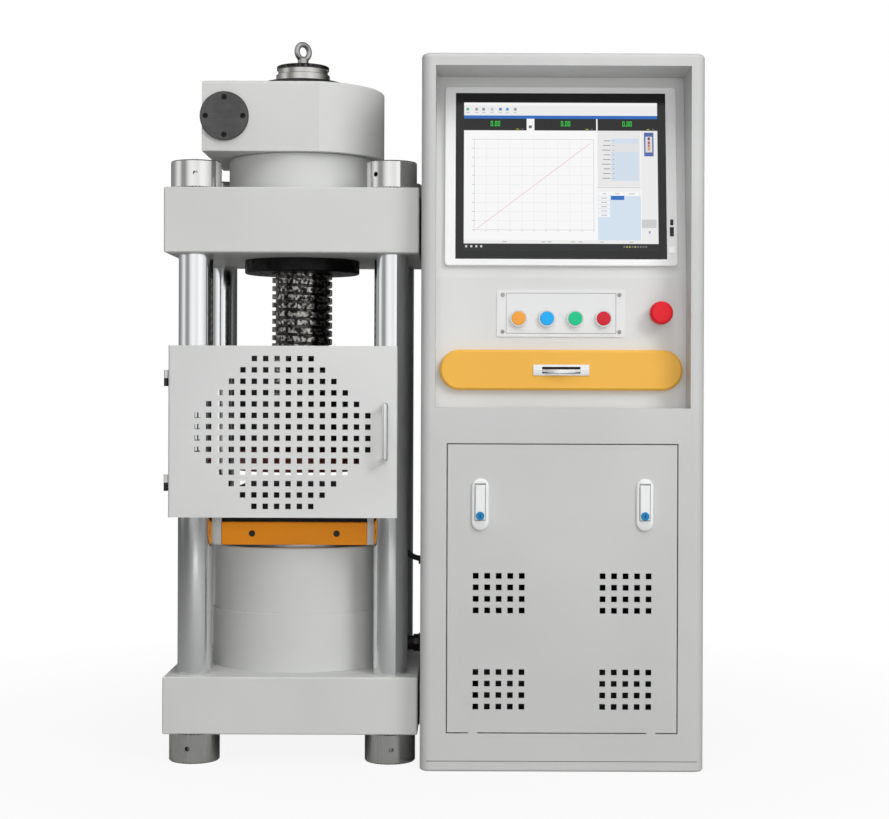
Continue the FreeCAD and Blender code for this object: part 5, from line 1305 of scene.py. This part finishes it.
@dataclass
class Cabinet(Assembly):
    """The cabinet's skins, its lower door with the locks, and what stands inside."""

    lock_core_radius: float = 7.2 * MM
    lock_rounding: float = 2.2 * MM
    lock_rim: float = 0.4 * MM
    corner_radius: float = 12.0 * MM
    seam_height: float = 17.5 * MM
    seam_width: float = 1.2 * MM
    seam_proud: float = 0.15 * MM
    seam_depth: float = 0.5 * MM
    foam_height: float = 380.0 * MM
    foam_inset: float = 30.0 * MM
    foam_back: float = 4.0 * MM
    foam_gap: float = 0.3 * MM
    foam_rounding: float = 0.5 * MM
    flange_drop: float = 2.5 * MM
    flange_overlap: float = 4.0 * MM
    flange_back: float = 0.2 * MM
    flange_front: float = 0.8 * MM
    lock_core_height: float = 434.5 * MM
    rear_screw_inset: float = 12.0 * MM

    def build(self) -> None:
        """Builds and dresses the cabinet."""
        # The console panel gets the lighter copy of the cabinet grey, painted light.
        self.dress({"side_panels": CABINET_PAINT, "top_panel": CABINET_PAINT, "front_frame": CABINET_PAINT,
                    "plinth": CABINET_PAINT, "rear_panel": CABINET_PAINT, "console_panel": LIT_COPY_PAINT,
                    "lower_door": CABINET_PAINT})
        self.smooth({"oil_tank": TANK_PAINT, "pump_motor": MOTOR_PAINT, "valve_block": ZINC})
        self.smooth({"lock_lever_left": LOCK_BODY, "lock_lever_right": LOCK_BODY})
        self.lock_plates()
        self.plinth_seam()
        self.vent_foam()
        self.rear_flange()
        self.lock_cores()
        self.rear_screws()

    def lock_plates(self) -> None:
        """Builds the lock plates with their outer front edges rounded over."""
        work = bmesh.new()
        work.from_mesh(merged_copy(self.nodes["lock_bases"]))
        low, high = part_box("lock_bases")
        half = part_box("lock_lever_left")
        left = (half[0][0] + half[1][0]) / 2.0
        right = low[0] + high[0] - left
        radius = left - low[0]
        rim = []
        for edge in work.edges:
            middle = (edge.verts[0].co + edge.verts[1].co) / 2.0
            z = min(max(middle.z, low[2] + radius), high[2] - radius)
            reach = min(math.hypot(middle.x - x, middle.z - z) for x in (left, right))
            if max(vert.co.y for vert in edge.verts) < low[1] + 0.01 * MM and reach > radius - self.lock_rim:
                rim.append(edge)
        bmesh.ops.bevel(work, geom=rim, offset=self.lock_rounding, segments=4, profile=0.5, affect="EDGES")
        mesh = bpy.data.meshes.new("lock_plates")
        work.to_mesh(mesh)
        work.free()
        piece = new_piece("lock_plates_rounded", mesh, LOCK_BODY, self.bodies["lock_bases"],
                          50.0)
        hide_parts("lock_bases")

    def plinth_seam(self) -> None:
        """Adds a grey strip of painted shade along the joint between the cabinet's body and its plinth, a
        hair proud of the paint.
        """
        low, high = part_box("side_panels")
        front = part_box("front_frame")[0][1]
        inset = self.corner_radius

        def fill(work: bmesh.types.BMesh) -> None:
            z = self.seam_height
            block(work, (low[0] + inset, front - self.seam_proud, z),
                  (high[0] - inset, front + self.seam_depth, z + self.seam_width))
        new_piece("plinth_seam", mesh_from(fill), SEAM_SHADE, "machine")

    def rear_flange(self) -> None:
        """Adds the top panel's turned-down flange, which closes the gap above the rear panel."""
        low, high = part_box("rear_panel")
        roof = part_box("top_panel")[1][2] - self.flange_drop

        def fill(work: bmesh.types.BMesh) -> None:
            block(work, (low[0], low[1] - self.flange_back, high[2] - self.flange_overlap),
                  (high[0], low[1] + self.flange_front, roof))
        new_piece("rear_flange", mesh_from(fill), CABINET_PAINT, "machine")

    def vent_foam(self) -> None:
        """Adds the filter foam behind the rear panel's slots."""
        low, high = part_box("rear_panel")

        def fill(work: bmesh.types.BMesh) -> None:
            inset = self.foam_inset
            block(work, (low[0] + inset, low[1] - self.foam_back, low[2] + inset),
                  (high[0] - inset, low[1] - self.foam_gap, low[2] + self.foam_height), self.foam_rounding)
        new_piece("vent_foam", mesh_from(fill), VENT_FOAM, "machine")

    def lock_cores(self) -> None:
        """Adds the blue lock cylinder to each lever, with a thin dark block as painted shade in its key slot.
        """
        for side in ("left", "right"):
            node = "lock_lever_" + side
            low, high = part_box(node)
            middle = self.centre(node)

            def fill(work: bmesh.types.BMesh) -> None:
                face = low[1] - 1.6 * MM
                radius = self.lock_core_radius
                turned(work, [(0.0, 0.0), (radius - 0.8 * MM, 0.0), (radius, 0.8 * MM), (radius, 3.0 * MM),
                              (0.0, 3.0 * MM)], (middle.x, face, self.lock_core_height), Axis.Y, 40)
            new_piece("lock_core_" + side, mesh_from(fill), LOCK_BLUE, node)

            # The key slot is a thin dark block of painted shade.
            def slot(work: bmesh.types.BMesh) -> None:
                half = Vector((0.7 * MM, 0.0, 2.6 * MM))
                z = self.lock_core_height
                block(work, (middle.x - half.x, low[1] - 1.75 * MM, z - half.z),
                      (middle.x + half.x, low[1] - 1.2 * MM, z + half.z))
            new_piece("key_slot_" + side, mesh_from(slot), FASTENER_STEEL, node)

    def rear_screws(self) -> None:
        """Sets the screws round the rear panel."""
        low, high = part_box("rear_panel")
        inset = self.rear_screw_inset
        points = []
        for index in range(6):
            z = low[2] + inset + (high[2] - low[2] - 2.0 * inset) * index / 5.0
            points.append((low[0] + inset, high[1], z))
            points.append((high[0] - inset, high[1], z))
        Fastener(radius=4.0 * MM, height=1.8 * MM, drive_radius=1.8 * MM, drive_depth=1.0 * MM, drive_sides=4,
                 crown=1.0 * MM).rows("rear_panel_screws", points, Facing.BACK, ZINC, "machine", "zinc_steel")


@dataclass
class Console(Assembly):
    """The leaning monitor, the buttons, the emergency stop and the keyboard drawer."""

    lean_deg: float = 8.0
    lit_width: float = 338.0 * MM
    lit_height: float = 264.0 * MM
    glass_height: float = 297.0 * MM
    plate_screw_spacing: tuple[float, float] = (202.0 * MM, 64.0 * MM)
    border_inset: tuple[float, float] = (16.0 * MM, 6.0 * MM)
    border_width: float = 0.7 * MM
    border_proud: float = 0.06 * MM
    border_depth: float = 0.2 * MM
    pull_plate: float = 2.0 * MM
    strap_length: float = 66.0 * MM
    strap_slot: float = 11.5 * MM
    strap_steps: int = 12
    strap_sink: float = 0.5 * MM
    strap_clear: float = 0.4 * MM
    strap_thickness: float = 0.8 * MM
    strap_half: tuple[float, float] = (2.2, 1.0)
    strap_drop: tuple[float, float] = (0.9, 1.2)
    port_size: tuple[float, float] = (7.0 * MM, 30.0 * MM)
    port_place: tuple[float, float] = (192.0 * MM, -92.0 * MM)

    def build(self) -> None:
        """Builds and dresses the console."""
        self.smooth({"monitor_bezel": SILVER_PAINT, "power_button": BRIGHT_ALUMINIUM}, 30.0)
        self.dress({"screen": PANEL_GLASS, "monitor_housing": BLACK_PLASTIC, "button_plate": PLATE_ALUMINIUM})
        front = self.centre("button_plate").y
        ring_finish = TwoPart("chromed_ring_on_black_housing", "#D6D8DA", 0.14, 1.0, plane_y=front - 0.2 * MM)
        self.smooth({"button_rings": ring_finish})
        self.smooth({"button_orange": LENS_ORANGE, "button_blue": LENS_BLUE, "button_green": LENS_GREEN,
                     "button_red": LENS_RED, "estop_button": ESTOP_RED})
        self.smooth({"drawer_front": DRAWER_PAINT}, 25.0)
        self.drawer_pull()
        self.plate_border()
        self.dress({"drawer_tray": ZINC, "drawer_runners": ZINC})
        self.plate_screws()
        self.port_cover()
        self.picture()

    def on_slope(self, mesh: bpy.types.Mesh) -> bpy.types.Mesh:
        """Moves a mesh from the display's own plane to the leaning glass.

        Args:
            mesh: The mesh, its front towards -Y and the glass's front centre at the origin.

        Returns:
            The same mesh, in place.
        """
        lean = math.radians(self.lean_deg)
        low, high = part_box("screen")
        upright = Vector((0.0, math.sin(lean), math.cos(lean)))
        middle = Vector(((low[0] + high[0]) / 2.0, low[1], low[2])) + upright * self.glass_height / 2.0
        mesh.transform(Matrix.Translation(middle) @ Matrix.Rotation(-lean, 4, "X"))
        return mesh

    def plate_screws(self) -> None:
        """Sets the four corner screws of the button plate."""
        low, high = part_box("button_plate")
        middle = self.centre("button_plate")
        points = []
        for side in (-0.5, 0.5):
            for level in (-0.5, 0.5):
                points.append((middle.x + side * self.plate_screw_spacing[0], low[1],
                               middle.z + level * self.plate_screw_spacing[1]))
        Fastener(radius=3.4 * MM, height=1.6 * MM, drive_radius=1.5 * MM, drive_depth=0.9 * MM, drive_sides=4,
                 crown=0.9 * MM).rows("plate_screws", points, Facing.FRONT, NUT_STEEL, "machine",
                                      "machined_steel")

    def plate_border(self) -> None:
        """Adds the thin engraved line round the button plate's middle, drawn as a grey strip of painted
        shade.
        """
        low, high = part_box("button_plate")
        left, right = low[0] + self.border_inset[0], high[0] - self.border_inset[0]
        bottom, top = low[2] + self.border_inset[1], high[2] - self.border_inset[1]
        half = self.border_width / 2.0

        def fill(work: bmesh.types.BMesh) -> None:
            for x0, z0, x1, z1 in ((left, bottom, right, bottom), (left, top, right, top),
                                   (left, bottom, left, top),
                                   (right, bottom, right, top)):
                block(work, (x0 - half, low[1] - self.border_proud, z0 - half),
                      (x1 + half, low[1] + self.border_depth, z1 + half))
        new_piece("plate_border", mesh_from(fill), SEAM_SHADE, "machine")

    def drawer_pull(self) -> None:
        """Builds the pull: a silver plate, a black block painted as the shade of the finger slot, and a bowed
        strap across it.
        """
        low, high = (Vector(corner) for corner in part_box("drawer_pull"))
        middle = (low + high) / 2.0
        face = high.y - self.pull_plate
        half = self.strap_length / 2.0
        body = self.bodies["drawer_pull"]

        def plate(work: bmesh.types.BMesh) -> None:
            block(work, (low.x, face, low.z), (high.x, high.y, high.z), 0.6 * MM)
            rows = []
            sunk = face + self.strap_sink
            for index in range(self.strap_steps + 1):
                along = 2.0 * index / self.strap_steps - 1.0
                bow = 1.0 - along * along
                y = sunk - bow * (sunk - low.y - self.strap_clear)
                tall = (self.strap_half[0] + self.strap_half[1] * bow) * MM
                drop = (self.strap_drop[0] + self.strap_drop[1] * bow) * MM
                x = middle.x + along * half
                rows.append([work.verts.new((x, y - side * self.strap_thickness,
                                             middle.z - drop + level * tall))
                             for side, level in ((0.5, -1.0), (0.5, 1.0), (-0.5, 1.0), (-0.5, -1.0))])
            for first, second in zip(rows, rows[1:]):
                for index in range(4):
                    after = (index + 1) % 4
                    work.faces.new((first[index], first[after], second[after], second[index]))
            work.faces.new(rows[0])
            work.faces.new(list(reversed(rows[-1])))

        # The finger slot's hollow is a thin black block of painted shade.
        def slot(work: bmesh.types.BMesh) -> None:
            block(work, (middle.x - half, face - 0.1 * MM, middle.z - self.strap_slot / 2.0),
                  (middle.x + half, face + 0.5 * MM, middle.z + self.strap_slot / 2.0))
        piece = new_piece("drawer_pull_bowed", mesh_from(plate), DRAWER_ALUMINIUM, body,
                          50.0)
        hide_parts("drawer_pull")
        new_piece("drawer_pull_slot", mesh_from(slot), PAINTED_SHADE_AND_BLACK_STEEL, body)

    def port_cover(self) -> None:
        """Adds the small black cover of the ports in the bezel's right side."""
        half = (self.port_size[0] / 2.0, self.port_size[1] / 2.0)
        x, z = self.port_place

        def fill(work: bmesh.types.BMesh) -> None:
            block(work, (x - half[0], -2.1 * MM, z - half[1]), (x + half[0], 0.5 * MM, z + half[1] * 0.1),
                  0.4 * MM)
            block(work, (x - half[0] * 0.8, -1.9 * MM, z + half[1] * 0.3),
                  (x + half[0] * 0.8, 0.5 * MM, z + half[1]),
                  0.3 * MM)
        new_piece("port_cover", self.on_slope(mesh_from(fill)), BLACK_PLASTIC, "machine")

    def picture(self) -> None:
        """Builds the display's lit picture from flat fields."""
        layout = PictureLayout(self.lit_width, self.lit_height)
        mesh = self.on_slope(layout.mesh())
        piece = new_piece("display_picture", mesh, PICTURE, "machine")
        LOG.info("picture of %s has %d fields", piece.name, len(mesh.polygons))


@dataclass
class PictureLayout:
    """A plain measuring program: a toolbar, three readouts, a chart and a column of fields.

    Places are shares of the lit area, from its left and from its top.
    """

    width: float
    height: float
    level_gap: float = 0.04 * MM
    lift: float = 0.1 * MM
    fields: list[tuple[list[tuple[float, float]], int, str]] = field(default_factory=list)

    def rect(self, left: float, top: float, right: float, bottom: float, level: int, colour: str) -> None:
        """Adds a field.

        Args:
            left: Its left edge.
            top: Its top edge.
            right: Its right edge.
            bottom: Its bottom edge.
            level: Which layer it lies on.
            colour: Its colour.
        """
        self.fields.append(([(left, bottom), (right, bottom), (right, top), (left, top)], level, colour))

    def line(self, start: tuple[float, float], end: tuple[float, float], width: float, level: int,
             colour: str) -> None:
        """Adds a straight line of a width in metres."""
        run = Vector(((end[0] - start[0]) * self.width, (end[1] - start[1]) * self.height))
        side = Vector((-run.y, run.x)).normalized() * width / 2.0
        shift = (side.x / self.width, side.y / self.height)
        corners = [(start[0] - shift[0], start[1] - shift[1]), (end[0] - shift[0], end[1] - shift[1]),
                   (end[0] + shift[0], end[1] + shift[1]), (start[0] + shift[0], start[1] + shift[1])]
        self.fields.append((corners, level, colour))

    def zero(self, left: float, top: float, wide: float, tall: float, colour: str) -> None:
        """Adds a seven-segment 0."""
        stroke_x, stroke_y = wide * 0.26, tall * 0.15
        self.rect(left, top, left + wide, top + stroke_y, 3, colour)
        self.rect(left, top + tall - stroke_y, left + wide, top + tall, 3, colour)
        self.rect(left, top, left + stroke_x, top + tall, 3, colour)
        self.rect(left + wide - stroke_x, top, left + wide, top + tall, 3, colour)

    def readout(self, middle: float) -> None:
        """Adds 0.00 in green."""
        green = "#22D63A"
        wide, tall, top = 0.0115, 0.034, 0.1265
        for offset in (-0.024, -0.002, 0.0125):
            self.zero(middle + offset, top, wide, tall, green)
        self.rect(middle - 0.0095, top + tall - 0.006, middle - 0.0055, top + tall, 3, green)

    def head(self) -> None:
        """Adds the toolbar and the three readouts."""
        self.rect(0.0, 0.0, 1.0, 0.02, 1, "#FCFCFD")
        self.rect(0.0, 0.02, 1.0, 0.088, 1, "#F1F1F1")
        for place, colour in ((0.012, "#5CC08A"), (0.058, "#9AA0A6"), (0.094, "#8E969E"), (0.138, "#B8C4CE"),
                              (0.181, "#5E7CA8"), (0.217, "#2E9BE0"), (0.258, "#9C9C9C")):
            self.rect(place, 0.036, place + 0.014, 0.055, 2, colour)
            self.rect(place - 0.003, 0.067, place + 0.017, 0.0705, 2, "#B4B4B4")
        self.rect(0.0, 0.088, 1.0, 0.11, 1, "#1667BE")
        for left, right in ((0.0, 0.324), (0.364, 0.684), (0.691, 1.0)):
            self.rect(left, 0.11, right, 0.19, 2, "#030403")
            self.rect(right - 0.055, 0.178, right - 0.04, 0.184, 3, "#A8A020")
            self.rect(right - 0.026, 0.178, right - 0.018, 0.184, 3, "#787878")
        self.rect(0.335, 0.155, 0.351, 0.175, 2, "#6A6A6A")
        for middle in (0.162, 0.5255, 0.844):
            self.readout(middle)

    def chart(self) -> None:
        """Adds the chart: its frame, ten by ten grid, ticks and one rising line."""
        left, top, right, bottom = 0.0535, 0.251, 0.669, 0.864
        for index in range(11):
            x = left + (right - left) * index / 10.0
            y = top + (bottom - top) * index / 10.0
            shade_of_line = "#9A9A9A" if index in (0, 10) else "#E6E6E6"
            self.line((x, top), (x, bottom), 0.45 * MM, 2, shade_of_line)
            self.line((left, y), (right, y), 0.45 * MM, 2, shade_of_line)
            self.rect(x - 0.0007, bottom, x + 0.0007, bottom + 0.012, 3, "#6E6E6E")
            self.rect(left - 0.012, y - 0.001, left, y + 0.001, 3, "#6E6E6E")
        self.line((0.0685, 0.854), (0.652, 0.278), 0.7 * MM, 3, "#EC9AA2")

    def side(self) -> None:
        """Adds the column of fields and the small drawing of a specimen."""
        self.rect(0.69, 0.19, 0.911, 0.57, 1, "#ECECEC")
        self.rect(0.76, 0.243, 0.903, 0.53, 2, "#D5E2F0")
        self.rect(0.76, 0.278, 0.903, 0.335, 3, "#E6E6E8")
        for index in range(9):
            y = 0.259 + 0.0318 * index
            self.rect(0.722 - 0.004 * (index % 3), y - 0.0025, 0.756, y + 0.0025, 3, "#8C8C8C")
            self.rect(0.768, y - 0.002, 0.776, y + 0.002, 4, "#8C8C8C")
        self.rect(0.69, 0.575, 0.911, 0.932, 1, "#D7E5F4")
        self.rect(0.69, 0.575, 0.911, 0.634, 2, "#F4F4F4")
        self.rect(0.69, 0.574, 0.911, 0.577, 3, "#A8A8A8")
        for left, right in ((0.694, 0.754), (0.759, 0.823), (0.829, 0.9)):
            self.rect(left, 0.607, right, 0.63, 3, "#FDFDFD")
            self.rect(left + 0.02, 0.617, right - 0.02, 0.621, 4, "#8A8A8A")
        for index in range(5):
            y = 0.634 + 0.0288 * index
            self.rect(0.692, y + 0.002, 0.752, y + 0.026, 3, "#FAFAFA")
            self.rect(0.707, y + 0.012, 0.737, y + 0.016, 4, "#8A8A8A")
        self.rect(0.757, 0.632, 0.826, 0.66, 3, "#1468C4")
        self.rect(0.915, 0.19, 1.0, 0.932, 1, "#F0F0F0")
        self.rect(0.931, 0.202, 0.98, 0.364, 2, "#4C67A6")
        self.rect(0.938, 0.23, 0.973, 0.337, 3, "#D9DCE2")
        for top, colour in ((0.235, "#5A3438"), (0.262, "#B8403C"), (0.284, "#D86A34"), (0.306, "#E09A3A")):
            self.rect(0.95, top, 0.961, top + 0.019, 4, colour)
        self.rect(0.915, 0.792, 0.991, 0.849, 2, "#CFCFD0")
        self.rect(0.95, 0.87, 0.96, 0.886, 2, "#9CA4CC")

    def foot(self) -> None:
        """Adds the status line and the dark task bar."""
        self.rect(0.0, 0.932, 1.0, 0.956, 1, "#F2F2F2")
        for place in (0.2, 0.4, 0.43, 0.55, 0.59, 0.7, 0.85):
            self.rect(place, 0.942, place + 0.02, 0.946, 2, "#8E8E8E")
        self.rect(0.0, 0.956, 1.0, 1.0, 1, "#121417")
        for place in (0.008, 0.034, 0.06, 0.085):
            self.rect(place, 0.968, place + 0.01, 0.982, 2, "#D8D8D8")
        for index in range(9):
            colour = "#B8B45A" if index in (1, 2, 4) else "#7C7E80"
            self.rect(0.82 + 0.014 * index, 0.971, 0.828 + 0.014 * index, 0.981, 2, colour)

    def mesh(self) -> bpy.types.Mesh:
        """Returns the picture as one mesh whose faces carry their colours."""
        self.rect(0.0, 0.0, 1.0, 1.0, 0, "#FDFDFE")
        self.head()
        self.chart()
        self.side()
        self.foot()
        mesh = bpy.data.meshes.new("picture")
        places, faces = [], []
        for corners, level, _ in self.fields:
            faces.append(tuple(range(len(places), len(places) + 4)))
            depth = -self.lift - level * self.level_gap
            places += [((u - 0.5) * self.width, depth, (0.5 - v) * self.height) for u, v in corners]
        mesh.from_pydata(places, [], faces)
        colours = mesh.color_attributes.new("picture", "FLOAT_COLOR", "CORNER")
        for face, (_, _, code) in zip(mesh.polygons, self.fields):
            if face.normal.y > 0.0:
                face.flip()
            for loop in face.loop_indices:
                colours.data[loop].color = linear_colour(code)
        return mesh


# Studio


@dataclass
class Studio:
    """The plain pale floor, the soft lamps and the camera."""

    floor_size: float = 14.0
    focal_px: float = 1770.0
    image: tuple[float, float] = (889.0, 819.0)
    principal: tuple[float, float] = (464.4, 390.1)
    eye: tuple[float, float, float] = (0.05565, -3.294, 0.647)
    roll_deg: float = 0.2
    paper_share: float = 0.9
    fill_share: float = 0.3
    panels: tuple[tuple[float, float], ...] = (
        (-180.0, 0.15), (-135.0, 0.26), (-108.0, 0.36), (-84.0, 0.92), (-74.0, 0.92), (-60.0, 0.36),
                                               (-44.0, 0.33),
        (-27.0, 0.95), (-12.0, 1.12), (16.0, 0.95), (28.0, 1.16), (42.0, 1.18), (66.0, 0.88), (80.0, 0.62),
        (93.0, 0.33), (108.0, 0.14), (128.0, 0.05), (180.0, 0.08))

    def build(self) -> None:
        """Builds the floor, the lamps, the world and the camera."""
        self.floor()
        self.world()
        self.lamp("key_softbox", (2.6, -3.2, 3.0), (0.0, 0.0, 0.7), 1.5, 76.0)
        self.lamp("front_softbox", (0.3, -4.3, 0.7), (0.0, 0.0, 0.6), 2.0, 55.0)
        self.lamp("top_softbox", (0.2, -1.8, 3.8), (0.0, 0.0, 0.5), 2.4, 46.0)
        self.lamp("back_softbox", (0.6, 3.4, 2.2), (0.0, 0.0, 0.7), 2.4, 24.0)
        self.camera()

    def floor(self) -> None:
        """Adds the pale floor."""
        def fill(work: bmesh.types.BMesh) -> None:
            bmesh.ops.create_grid(work, x_segments=1, y_segments=1, size=self.floor_size / 2.0)
        floor = bpy.data.objects.new("studio_floor", mesh_from(fill, "studio_floor"))
        bpy.context.scene.collection.objects.link(floor)
        material = bpy.data.materials.new("seamless_paper_white")
        material.use_nodes = True
        tree = material.node_tree
        tree.nodes.clear()
        paper = add_node(tree, "ShaderNodeBsdfDiffuse", {"Color": linear_colour("#C4C4C2")}).outputs[0]
        white = add_node(tree, "ShaderNodeEmission",
                         {"Color": (1.0, 1.0, 1.0, 1.0), "Strength": 1.0}).outputs[0]
        rays = add_node(tree, "ShaderNodeLightPath").outputs["Is Camera Ray"]
        place = add_node(tree, "ShaderNodeTexCoord").outputs["Object"]
        reach = add_node(tree, "ShaderNodeVectorMath", {0: place}, operation="LENGTH").outputs["Value"]
        clean = add_node(tree, "ShaderNodeMapRange", {"Value": reach, "From Min": 0.4, "From Max": 1.5,
                                                      "To Min": self.paper_share, "To Max": 1.0}).outputs[0]
        share = add_node(tree, "ShaderNodeMath", {0: rays, 1: clean}, operation="MULTIPLY").outputs[0]
        mixed = add_node(tree, "ShaderNodeMixShader", {0: share, 1: paper, 2: white}).outputs[0]
        add_node(tree, "ShaderNodeOutputMaterial", {"Surface": mixed})
        floor.data.materials.append(material)

    def world(self) -> None:
        """Makes the surroundings white to the eye, soft grey to paint, and white and grey panels to metal."""
        scene = bpy.context.scene
        world = bpy.data.worlds.new("studio_world")
        scene.world = world
        world.use_nodes = True
        tree = world.node_tree
        tree.nodes.clear()
        rays = add_node(tree, "ShaderNodeLightPath").outputs
        clear = add_node(tree, "ShaderNodeMath", {0: rays["Is Camera Ray"], 1: rays["Is Transmission Ray"]},
                         operation="MAXIMUM").outputs[0]
        way = add_node(tree, "ShaderNodeSeparateXYZ",
                       {0: add_node(tree, "ShaderNodeTexCoord").outputs["Generated"]})
        back = add_node(tree, "ShaderNodeMath", {0: way.outputs["Y"], 1: -1.0},
                        operation="MULTIPLY").outputs[0]
        angle = add_node(tree, "ShaderNodeMath", {0: way.outputs["X"], 1: back},
                         operation="ARCTAN2").outputs[0]
        place = add_node(tree, "ShaderNodeMapRange",
                         {"Value": angle, "From Min": -math.pi, "From Max": math.pi})
        ramp = add_node(tree, "ShaderNodeFloatCurve", {"Value": place.outputs[0]})
        self.draw_panels(ramp.mapping)
        bright = add_node(tree, "ShaderNodeMath", {0: ramp.outputs[0], 1: 1.2},
                          operation="MULTIPLY").outputs[0]
        soft = add_node(tree, "ShaderNodeMath", {0: bright, 1: self.fill_share},
                        operation="MULTIPLY").outputs[0]
        shown = add_node(tree, "ShaderNodeMix", {0: rays["Is Glossy Ray"], 2: soft, 3: bright}).outputs[0]
        level = add_node(tree, "ShaderNodeMix", {0: clear, 2: shown, 3: 1.0}).outputs[0]
        light = add_node(tree, "ShaderNodeBackground",
                         {"Color": (1.0, 1.0, 1.0, 1.0), "Strength": level}).outputs[0]
        add_node(tree, "ShaderNodeOutputWorld", {"Surface": light})

    def draw_panels(self, mapping: bpy.types.CurveMapping) -> None:
        """Draws the level of the studio's panels over the angle round the object, 0 at the front.

        Args:
            mapping: The curve from the angle's share of a turn to the level's share of 1.2.
        """
        points = mapping.curves[0].points
        for degrees, level in self.panels[1:-1]:
            points.new(degrees / 360.0 + 0.5, level / 1.2)
        points[0].location = (0.0, self.panels[0][1] / 1.2)
        points[-1].location = (1.0, self.panels[-1][1] / 1.2)
        for point in points:
            point.handle_type = "VECTOR"
        mapping.update()

    def lamp(self, name: str, place: Point, target: Point, size: float, power: float) -> None:
        """Adds a square softbox, which metal doesn't mirror because the world's panels stand for it there.

        Args:
            name: Its name.
            place: Where it hangs.
            target: What it points at.
            size: Its side.
            power: Its power in watts.
        """
        data = bpy.data.lights.new(name, "AREA")
        data.shape = "SQUARE"
        data.size = size
        data.energy = power
        lamp = bpy.data.objects.new(name, data)
        lamp.location = place
        lamp.rotation_euler = (Vector(target) - Vector(place)).to_track_quat("-Z", "Y").to_euler()
        lamp.visible_glossy = False
        bpy.context.scene.collection.objects.link(lamp)

    def camera(self) -> None:
        """Adds the camera at the photograph's place, looking level along +Y."""
        scene = bpy.context.scene
        data = bpy.data.cameras.new("photo_camera")
        data.sensor_fit = "HORIZONTAL"
        data.sensor_width = 36.0
        data.lens = self.focal_px / self.image[0] * data.sensor_width
        data.shift_x = (self.image[0] / 2.0 - self.principal[0]) / self.image[0]
        data.shift_y = (self.principal[1] - self.image[1] / 2.0) / self.image[0]
        camera = bpy.data.objects.new("photo_camera", data)
        camera.location = self.eye
        camera.rotation_euler = (math.pi / 2.0, -math.radians(self.roll_deg), 0.0)
        scene.collection.objects.link(camera)
        scene.camera = camera


def main() -> None:
    """Builds every sub-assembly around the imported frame."""
    logging.basicConfig(level=logging.INFO, format="%(name)s: %(message)s")
    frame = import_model()
    record = frame["record"]
    slots = {part["node"]: part["material_slot"] for part in record["subparts"]}
    bodies = {node: body for body, nodes in record["behaviour"]["bodies"].items() for node in nodes}
    for kind in (LoadFrame, ScrewDrive, GuardDoor, Links, Cabinet, Console):
        kind(frame["nodes"], slots, bodies).build()
    Studio().build()
    bpy.context.scene.view_settings.view_transform = "Standard"


if __name__ == "__main__":
    main()
